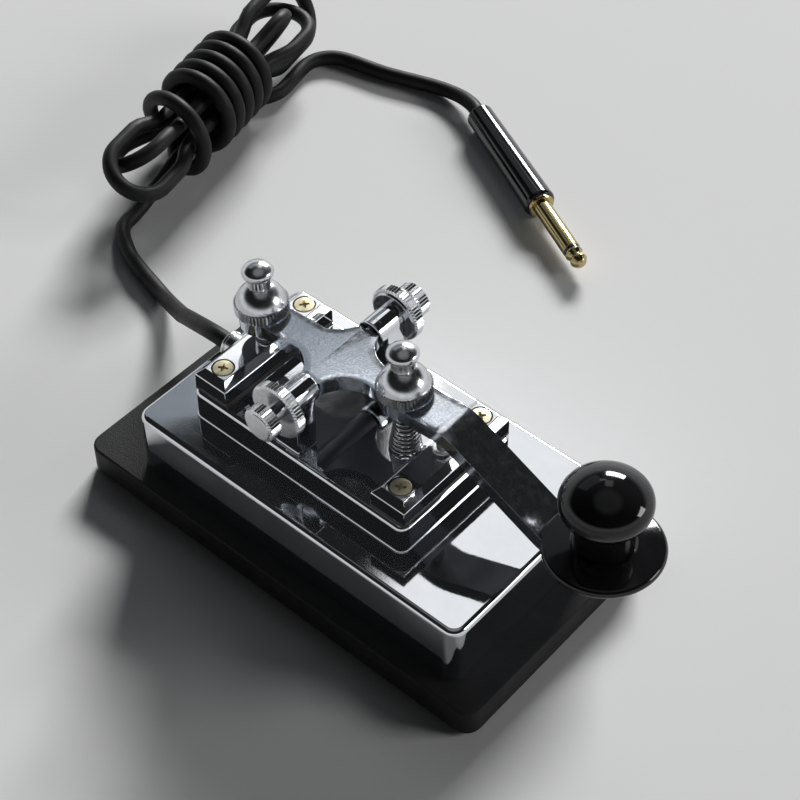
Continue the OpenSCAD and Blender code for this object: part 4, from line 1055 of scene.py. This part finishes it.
@dataclass
class Leads:
    """The two short leads in the wiring slot."""

    radius: float = 0.8
    apart: float = 0.85
    start: float = -46.9
    slot_rear: float = -37.9
    gland_z: float = 38.3
    tag_a: float = -20.35
    tag_b: float = 20.5
    low: float = 36.8

    def build(self, shop: Workshop) -> None:
        """Makes both leads as one piece."""
        a, d, deep = self.apart, 2 * self.radius, self.low - 1.0
        out = self.gland_z - self.radius
        first = [(self.start, a, self.gland_z), (self.start + d, a, self.gland_z), (self.slot_rear, a, out),
                 (self.slot_rear + 2 * d, 1.4 * a, self.low - d), (-29.1, 1.7 * a, self.low - 1.5 * d),
                 (self.tag_a - 2.5 * d, a, self.low - d), (self.tag_a - d / 2, a / 8, self.low - d / 8),
                 (self.tag_a + d, 0.0, self.low), (self.tag_a + 2 * d, 0.0, self.low)]
        second = [(self.start, -a, self.gland_z), (self.start + d, -a, self.gland_z), (self.slot_rear, -a, out),
                  (self.slot_rear + 2 * d, -2.4 * a, self.low - d), (self.slot_rear + 6 * d, -4.5 * a, self.low - 2 * d),
                  (-17.7, -5.7 * a, deep - 1.5 * d), (-4.9, -5.7 * a, deep - 1.5 * d),
                  (self.tag_b - 6 * d, -3.8 * a, deep - 1.5 * d), (self.tag_b - 2.5 * d, -1.4 * a, deep - d),
                  (self.tag_b - d / 2, -a / 8, deep - d / 8), (self.tag_b + d, 0.0, deep), (self.tag_b + 2 * d, 0.0, deep)]
        form = Form()
        for path in (first, second):
            fine = HankedCord.smooth([Vector(p) for p in path], 4)
            form.sweep([tuple(p) for p in fine], self.radius, 3)
        shop.place("lead_pair", form, LEAD_SKIN, Body.STAND, ["lead_wires"])


@dataclass
class ContactBar:
    """A chamfered contact bar with its strip, screws and anvil."""

    label: str
    x: float
    length: float = 45.4
    width: float = 12.0
    chamfer: float = 2.1
    screw_gap: float = 34.0
    head: float = 3.1

    def build(self, shop: Workshop) -> None:
        """Makes the bar, its two screws and its anvil."""
        height = AT.bar_top - AT.bar
        bar = Form().block((self.width, self.length, height), (self.x, 0.0, AT.bar + height / 2))
        bar.soften(self.chamfer, 1, rim(AT.bar_top)).soften(0.22, 3, sharp(30.0))
        for y in (-self.screw_gap / 2, self.screw_gap / 2):
            seat = Form().lathe([(0.0, 48.0), (1.55, 48.0), (1.55, 49.4), (self.head + 0.36, AT.bar_top - 1.1),
                                 (self.head + 0.36, 54.0), (0.0, 54.0)], 48)
            bar.carve(seat.move((self.x, y, 0.0)))
        shop.place(self.label + "_bar_block", bar, MIRROR, Body.STAND, [self.label + "_contact_bar"], 25.0)
        shop.keep(self.label + "_insulator", BOARD)
        screws = Form()
        for y, turned in ((-self.screw_gap / 2, 28.0), (self.screw_gap / 2, 52.0)):
            screws.join(self.screw(turned).move((self.x, y, 0.0)))
        shop.place(self.label + "_bar_screw_pair", screws, BRASS, Body.STAND, [self.label + "_bar_screws"], 30.0)
        foot = 32.0 if self.label == "front" else AT.bar + 0.1
        anvil = Form().lathe(rounded([
            (0.0, foot, 0.0), (1.7, foot, 0.2), (1.7, AT.bar_top, 0.0), (2.6, AT.bar_top, 0.0),
            (2.6, AT.anvil, 0.35), (0.0, AT.anvil, 0.0)]), 48).move((self.x, 0.0, 0.0))
        shop.place(self.label + "_anvil_rivet", anvil, SILVER, Body.STAND, [self.label + "_anvil"])

    def screw(self, turned: float) -> Form:
        """A countersunk screw with a cross recess, standing on the middle line."""
        head = Form().lathe(rounded([
            (0.0, 36.0, 0.0), (1.45, 36.0, 0.3), (1.45, AT.bar_top - 1.7, 0.0), (self.head, AT.bar_top - 0.25, 0.12),
            (self.head - 0.1, AT.bar_top, 0.15), (0.0, AT.bar_top + 0.06, 0.0)]), 48)
        for quarter in (0.0, 90.0):
            slot = Form().block((3.7, 0.95, 2.0), (0.0, 0.0, AT.bar_top))
            for vert in slot.bm.verts:
                if vert.co.z < AT.bar_top:
                    vert.co.x *= 0.62
                    vert.co.y *= 0.7
            head.carve(slot.turn(quarter + turned, "Z"))
        dimple = Form().lathe([(0.0, AT.bar_top - 1.1), (0.95, AT.bar_top + 0.3), (0.0, AT.bar_top + 0.3)], 24)
        return head.carve(dimple)


@dataclass
class PivotPair:
    """The posts, pivot screws and lock nuts on both sides."""

    inner: float = 15.0
    thick: float = 7.4
    half: float = 4.5
    boss: float = 2.2
    shank: float = 2.45
    journal: float = 1.6
    journal_in: float = 8.0
    shoulder: float = 12.3
    nut: float = 8.7
    nut_in: float = 22.45
    nut_thick: float = 4.0
    head: float = 5.3
    head_in: float = 28.85
    head_long: float = 4.5

    def on_axis(self, form: Form, side: Side) -> Form:
        """Lays a form that stands on its axis along the pivot axis."""
        return form.turn(-90.0 * side.value, "X").move((AT.pivot_x, 0.0, AT.pivot))

    def build(self, shop: Workshop) -> None:
        """Makes both sides."""
        for side in Side:
            label = side.name.lower()
            shop.place(label + "_post_block", self.post(side), MIRROR, Body.STAND, [label + "_pivot_post"], 28.0)
            shop.place(label + "_pivot_pin", self.on_axis(self.screw(), side), NICKEL,
                       Body[side.name + "_SCREW"], [label + "_pivot_screw"])
            shop.place(label + "_pivot_ring", self.on_axis(self.ring(), side), NICKEL,
                       Body[side.name + "_NUT"], [label + "_pivot_lock_nut"])

    def post(self, side: Side) -> Form:
        """An upright post with a round top and a boss."""
        rise = AT.pivot - AT.plinth
        outline = [(self.half, -rise), *arc((0.0, 0.0), self.half, 0.0, 180.0, 24), (-self.half, -rise)]
        post = Form().slab(outline, self.inner, self.inner + self.thick).soften(0.45, 3, sharp(60.0))
        post.turn(-90.0, "X") if side is Side.FAR else post.turn(-90.0, "X").turn(180.0, "Z")
        for vert in post.bm.verts:
            vert.co.z = -vert.co.z
        bmesh.ops.recalc_face_normals(post.bm, faces=post.bm.faces)
        boss = Form().lathe(rounded([
            (self.shank, self.inner + 0.3, 0.0), (self.half - 0.05, self.inner + 0.3, 0.0),
            (self.half - 0.05, self.inner - self.boss, 0.5), (self.shank, self.inner - self.boss, 0.0),
            (self.shank, self.inner + 0.3, 0.0)]), 56)
        return post.move((AT.pivot_x, 0.0, AT.pivot)).join(self.on_axis(boss, side))

    def screw(self) -> Form:
        """A pivot screw with a knurled head, standing on its axis."""
        pin = Form().lathe(rounded([
            (0.0, self.journal_in, 0.0), (self.journal, self.journal_in, 0.3), (self.journal, self.shoulder, 0.0),
            (self.shank, self.shoulder + 0.85, 0.1), (self.shank, self.head_in + 0.3, 0.0), (0.0, self.head_in + 0.3, 0.0)]), 48)
        pin.join(Form().thread(self.shank, 0.28, 0.8, self.inner + self.thick - 0.5, self.head_in + 1.0))
        pin.join(Form().knurl(self.head, 0.3, 34, self.head_in, self.head_in + self.head_long - 0.25, 0.55))
        face = self.head_in + self.head_long
        pin.join(Form().lathe(rounded([
            (0.0, face - 1.0, 0.0), (4.4, face - 1.0, 0.0), (4.4, face, 0.35), (0.0, face, 0.0)]), 56))
        return pin

    def ring(self) -> Form:
        """A knurled lock nut, standing on its axis."""
        low, high = self.nut_in, self.nut_in + self.nut_thick
        ring = Form().knurl(self.nut, 0.34, 54, low + 0.6, high, 0.6)
        return ring.join(Form().lathe(rounded([
            (self.shank + 0.1, low, 0.0), (7.2, low, 0.3), (7.9, low + 0.9, 0.0), (7.9, low + 1.2, 0.0),
            (self.shank + 0.1, low + 1.2, 0.0), (self.shank + 0.1, low, 0.0)]), 56))


@dataclass
class Lever:
    """The lever: star, sloping arm and pivot barrel, with its contact."""

    thick: float = 4.6
    ear: float = 12.2
    neck: float = 5.4
    lug: float = 7.0
    arm: float = 6.25
    tip: float = 7.0
    hub: float = 3.8
    rear_hollow: float = 12.0
    front_hollow: float = 11.0
    bend_x: float = 31.6
    bend: float = 14.0
    slope: float = 29.0
    edge: float = 0.75
    contact_low: float = 51.143
    crown: float = 2.2
    fall: float = 0.17

    @property
    def level_x(self) -> float:
        """Where the arm is level again."""
        inner, q = self.bend - self.thick, math.radians(self.slope)
        drop = AT.lever_top - AT.arm_top - (self.bend + inner) * (1.0 - math.cos(q))
        return self.bend_x + (self.bend + inner) * math.sin(q) + drop / math.tan(q)

    def half_outline(self) -> list[Point]:
        """The far half of the plan, from the rear end to the tip."""
        rear, front = AT.rear_bar_x, AT.tension_x
        hollow_a = (AT.pivot_x - 14.3, self.rear_hollow + 4.7)
        hollow_b = (AT.pivot_x + 14.4, self.front_hollow + 4.2)
        neck = math.degrees(math.asin(self.neck / self.lug))
        points = arc((rear, 0.0), self.lug, 180.0, neck, 22)
        start = -math.degrees(math.acos((self.neck - hollow_a[1]) / -self.rear_hollow)) * -1.0 - 90.0
        stop = math.degrees(math.asin((self.ear - hollow_a[1]) / self.rear_hollow))
        points += arc(hollow_a, self.rear_hollow, start, stop, 16)
        begin = 180.0 - math.degrees(math.asin((self.ear - hollow_b[1]) / self.front_hollow))
        gap = Vector((front - hollow_b[0], -hollow_b[1]))
        along = (self.front_hollow ** 2 - self.lug ** 2 + gap.length_squared) / (2 * gap.length)
        spread = math.degrees(math.acos(along / self.front_hollow))
        meet = 360.0 + math.degrees(math.atan2(gap.y, gap.x)) + spread
        meet = 360.0 + math.degrees(math.atan2(gap.y, gap.x)) - spread if meet > 360.0 else meet
        points += arc(hollow_b, self.front_hollow, begin, meet, 20)
        last = points[-1]
        lug_from = math.degrees(math.atan2(last[1], last[0] - front))
        points += arc((front, 0.0), self.lug, lug_from, math.degrees(math.asin(self.arm / self.lug)), 10)[1:]
        points += arc((AT.knob_x, 0.0), self.tip, 180.0 - math.degrees(math.asin(self.arm / self.tip)), 0.0, 20)
        return points

    def top_at(self, x: float) -> float:
        """Height of the upper face at a distance along the key."""
        inner, q = self.bend - self.thick, math.radians(self.slope)
        first, last = self.bend_x + self.bend * math.sin(q), self.level_x - inner * math.sin(q)
        if x <= self.bend_x:
            return AT.lever_top
        if x <= first:
            return AT.lever_top - self.bend + math.sqrt(self.bend ** 2 - (x - self.bend_x) ** 2)
        if x <= last:
            return AT.lever_top - self.bend * (1.0 - math.cos(q)) - (x - first) * math.tan(q)
        if x <= self.level_x:
            return AT.arm_top + inner - math.sqrt(inner ** 2 - (self.level_x - x) ** 2)
        return AT.arm_top

    def low_at(self, x: float) -> float:
        """Height of the lower face at a distance along the key."""
        inner, q = self.bend - self.thick, math.radians(self.slope)
        first, last = self.bend_x + inner * math.sin(q), self.level_x - self.bend * math.sin(q)
        if x <= self.bend_x:
            return AT.lever_low
        if x <= first:
            return AT.lever_top - self.bend + math.sqrt(inner ** 2 - (x - self.bend_x) ** 2)
        if x <= last:
            return AT.lever_low - inner * (1.0 - math.cos(q)) - (x - first) * math.tan(q)
        if x <= self.level_x:
            return AT.arm_top + inner - math.sqrt(self.bend ** 2 - (self.level_x - x) ** 2)
        return AT.arm_low

    def pillow(self, form: Form) -> None:
        """Lets the upper face fall a little towards its edges, as polishing does."""
        upper = [f for f in form.bm.faces if f.normal.z > 0.3]
        kept = set()
        rims = bmesh.ops.inset_region(form.bm, faces=upper, thickness=self.crown, use_even_offset=True,
                                      use_boundary=True)["faces"]
        for face in upper:
            kept.update(face.verts)
        for vert in {v for f in rims for v in f.verts} - kept:
            vert.co.z -= self.fall

    def build(self, shop: Workshop) -> None:
        """Makes the lever and its contact pin."""
        half = self.half_outline()
        outline = half + [(x, -y) for x, y in reversed(half) if abs(y) > 1e-6]
        form = Form()
        form.bm.faces.new([form.bm.verts.new((x, y, 0.0)) for x, y in outline])
        span = self.level_x - self.bend_x
        for i in range(33):
            bmesh.ops.bisect_plane(form.bm, geom=form.bm.verts[:] + form.bm.edges[:] + form.bm.faces[:], dist=1e-5,
                                   plane_co=(self.bend_x + span * i / 32, 0, 0), plane_no=(1, 0, 0))
        made = bmesh.ops.extrude_face_region(form.bm, geom=form.bm.faces[:])
        upper = {v for v in made["geom"] if isinstance(v, bmesh.types.BMVert)}
        for vert in form.bm.verts:
            vert.co.z = self.top_at(vert.co.x) if vert in upper else self.low_at(vert.co.x)
        self.pillow(form.tidy())
        form.soften(self.edge, 4, sharp(48.0))
        hub = Form().lathe(rounded([
            (0.0, -self.ear, 0.0), (self.hub, -self.ear, 0.6), (self.hub, self.ear, 0.6), (0.0, self.ear, 0.0)]), 56)
        hub.turn(-90.0, "X").move((AT.pivot_x, 0.0, AT.pivot))
        hub.carve(Form().block((20.0, 40.0, 10.0), (AT.pivot_x, 0.0, AT.lever_top + 4.7)))
        bar = shop.place("lever_bar", form.join(hub).at_rest(), SATIN, Body.LEVER, ["lever"], 35.0)
        # Marks the downward faces, which the satin finish paints with shade (near-black colour) and makes rougher.
        raw = bar.data.attributes.new("raw", "FLOAT", "FACE")
        raw.data.foreach_set("value", [1.0 if face.normal.z < -0.5 else 0.0 for face in bar.data.polygons])
        pin = Form().lathe(rounded([
            (0.0, self.contact_low, 0.0), (2.0, self.contact_low, 0.3), (2.0, AT.lever_low + 0.2, 0.0),
            (0.0, AT.lever_low + 0.2, 0.0)]), 40).move((AT.front_bar_x, 0.0, 0.0))
        shop.place("lever_contact_pin", pin.at_rest(), SILVER, Body.LEVER, ["lever_contact"])


@dataclass
class Adjuster:
    """A vertical adjusting screw with its domed lock nut."""

    label: str
    x: float
    low: float
    screw_body: Body
    nut_body: Body
    pilot: float = 0.0
    neck_long: float = 3.3
    shank: float = 2.95
    seat: float = 73.6
    neck: float = 3.4
    head: float = 4.65
    head_edge: float = 1.7
    dome: float = 6.4
    nut: float = 8.0
    nut_rim: float = 3.8
    nut_dome: float = 5.7
    teeth: int = 48

    def build(self, shop: Workshop) -> None:
        """Makes the screw and the nut."""
        shop.place(self.label + "_screw_turned", self.screw().move((self.x, 0.0, 0.0)).at_rest(), NICKEL, self.screw_body,
                   [self.label + "_screw"])
        shop.place(self.label + "_nut_turned", self.lock_nut().move((self.x, 0.0, 0.0)).at_rest(), NICKEL, self.nut_body,
                   [self.label + "_lock_nut"])

    def screw(self) -> Form:
        """The screw on the middle line: threaded shank, knurled neck and domed head."""
        core = self.shank - 0.4
        edge = self.seat + self.neck_long + self.head_edge
        out = self.head - self.head_edge
        sink = math.sqrt((self.dome - self.head_edge) ** 2 - out ** 2)
        tilt = math.degrees(math.atan2(sink, out))
        head = [(0.0, edge - self.head_edge), *arc((out, edge), self.head_edge, -90.0, tilt, 14),
                *arc((0.0, edge - sink), self.dome, tilt, 90.0, 12)[1:]]
        head[-1] = (0.0, head[-1][1])
        form = Form().lathe(head, 64)
        foot = [(0.0, self.low, 0.0), (core - 0.3, self.low, 0.0), (core, self.low + 0.5, 0.0),
                (core, self.seat + 0.5, 0.0), (0.0, self.seat + 0.5, 0.0)]
        if self.pilot > 0.0:
            foot = [(0.0, self.low - 2.0, 0.0), (self.pilot, self.low - 2.0, 0.3), (self.pilot, self.low, 0.0),
                    (self.shank - 0.2, self.low, 0.2), *foot[2:]]
        form.join(Form().lathe(rounded(foot), 40))
        form.join(Form().thread(self.shank, 0.42, 1.0, self.low + 0.3, self.seat + 0.6))
        return form.join(Form().knurl(self.neck, 0.3, 20, self.seat, self.seat + self.neck_long + 0.3, 0.25))

    def lock_nut(self) -> Form:
        """The lock nut on the middle line: knurled rim and polished dome."""
        low = AT.lever_top + 0.05
        base = self.nut - 0.5
        ball = (base ** 2 + self.nut_dome ** 2) / (2 * self.nut_dome)
        top = low + self.nut_rim
        bore = self.shank + 0.06
        start = math.degrees(math.asin((ball - self.nut_dome) / ball))
        end = math.degrees(math.acos((bore + 0.15) / ball))
        ridge = arc((0.0, top + self.nut_dome - ball), ball, start, end, 16)
        cap = [(bore, top - 0.5), (base, top - 0.5), *ridge, (bore, ridge[-1][1] - 0.15), (bore, top - 0.5)]
        form = Form().knurl(self.nut, 0.34, self.teeth, low, top, 0.5)
        return form.join(Form().lathe(cap, 72))


@dataclass
class ReturnSpring:
    """The conical spring between the plinth and the tension screw."""

    turns: float = 10.0
    wire: float = 1.0
    foot: float = 4.4
    top: float = 2.4
    height: float = 15.4
    travel: float = 0.356

    def build(self, shop: Workshop) -> None:
        """Makes the spring."""
        steps = int(self.turns * 28)
        points = []
        for i in range(steps + 1):
            share = i / steps
            radius = self.foot + (self.top - self.foot) * share
            turn = math.tau * self.turns * share
            points.append((AT.spring_x + radius * math.cos(turn), radius * math.sin(turn),
                           AT.plinth + self.wire / 2 + 0.05 + (self.height - self.wire) * share))
        made = shop.place("spring_coil", Form().sweep(points, self.wire / 2, 4), SPRING, Body.STAND, ["return_spring"], 50.0)
        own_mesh(made)


@dataclass
class Knob:
    """The black knob, its skirt and the screw that holds them."""

    ball: float = 12.5
    ball_edge: float = 5.5
    ball_top: float = 16.0
    neck: float = 8.0
    neck_long: float = 9.5
    skirt: float = 16.6
    rim: float = 1.4
    lift: float = 1.9
    rise: float = 1.4

    def build(self, shop: Workshop) -> None:
        """Makes the skirt, the knob and the screw."""
        low = AT.arm_top + self.lift
        seat = low + 2 * self.rim + self.rise
        out = self.skirt - self.rim
        skirt = [(0.0, AT.arm_top), (self.neck, AT.arm_top), (self.neck, low), (out, low),
                 *arc((out, low + self.rim), self.rim, -90.0, 82.0, 14),
                 *rounded([(out, low + 2 * self.rim, 0.0), (self.neck + 1.2, seat - 0.1, 1.2), (self.neck + 0.4, seat, 0.0)])[1:],
                 (0.0, seat)]
        shop.place("knob_skirt_disc", Form().lathe(skirt, 96).move((AT.knob_x, 0.0, 0.0)).at_rest(), PHENOLIC, Body.LEVER,
                   ["knob_skirt"])
        middle = seat + self.neck_long + self.ball_edge
        wide = self.ball - self.ball_edge
        sink = math.sqrt((self.ball_top - self.ball_edge) ** 2 - wide ** 2)
        tilt = math.degrees(math.atan2(sink, wide))
        under = middle - self.ball_edge
        knob = [(0.0, seat), (self.neck, seat), *arc((self.neck + 2.2, under - 2.2), 2.2, 180.0, 118.0, 8),
                *arc((wide, middle), self.ball_edge, -84.0, tilt, 22), *arc((0.0, middle - sink), self.ball_top, tilt, 90.0, 16)[1:]]
        knob[-1] = (0.0, knob[-1][1])
        shop.place("knob_ball", Form().lathe(knob, 96).move((AT.knob_x, 0.0, 0.0)).at_rest(), PHENOLIC, Body.LEVER,
                   ["knob"])
        screw = Form().lathe(rounded([
            (0.0, AT.arm_low - 2.6, 0.0), (4.2, AT.arm_low - 2.6, 0.5), (4.2, AT.arm_low, 0.0), (2.4, AT.arm_low, 0.0),
            (2.4, seat + 11.0, 0.0), (0.0, seat + 11.0, 0.0)]), 48)
        screw.carve(Form().block((9.0, 1.2, 2.4), (0.0, 0.0, AT.arm_low - 2.6)))
        shop.place("knob_screw_head", screw.move((AT.knob_x, 0.0, 0.0)).at_rest(), STEEL, Body.LEVER, ["knob_screw"])


@dataclass
class Gland:
    """The plated gland where the cord enters the plinth."""

    rear: float = -43.9
    height: float = 38.3
    radius: float = 4.8
    long: float = 8.4
    tail: float = 3.8

    def build(self, shop: Workshop) -> None:
        """Makes the gland."""
        r, end = self.radius, self.long
        form = Form().lathe(rounded([
            (0.0, -6.0, 0.0), (self.tail, -6.0, 0.3), (self.tail, 0.0, 0.0), (r, 0.0, 0.3), (r, 1.6, 0.4),
            (r - 0.5, 1.7, 0.1), (r - 0.8, end - 1.1, 0.1), (r - 0.5, end - 1.0, 0.1), (r - 0.5, end, 0.45),
            (2.75, end, 0.2), (2.75, end - 1.2, 0.0), (0.0, end - 1.2, 0.0)]), 64)
        form.turn(-90.0, "Y").move((self.rear, 0.0, self.height))
        shop.place("cord_gland_ferrule", form, NICKEL, Body.STAND, ["cord_gland"])


def main() -> None:
    """Builds the scene piece by piece."""
    logging.basicConfig(level=logging.INFO, format="%(message)s")
    shop = Workshop()
    PhotoCamera().build()
    Studio().build()
    plug = JackPlug().build(shop)
    HankedCord().build(shop, plug)
    Base().build(shop)
    Casting().build(shop)
    Leads().build(shop)
    ContactBar("rear", AT.rear_bar_x).build(shop)
    ContactBar("front", AT.front_bar_x).build(shop)
    PivotPair().build(shop)
    Lever().build(shop)
    Adjuster("gap", AT.rear_bar_x, 55.092, Body.GAP_SCREW, Body.GAP_NUT).build(shop)
    Adjuster("tension", AT.tension_x, 57.796, Body.TENSION_SCREW, Body.TENSION_NUT, pilot=1.75).build(shop)
    ReturnSpring().build(shop)
    Knob().build(shop)
    Gland().build(shop)


if __name__ == "__main__":
    main()
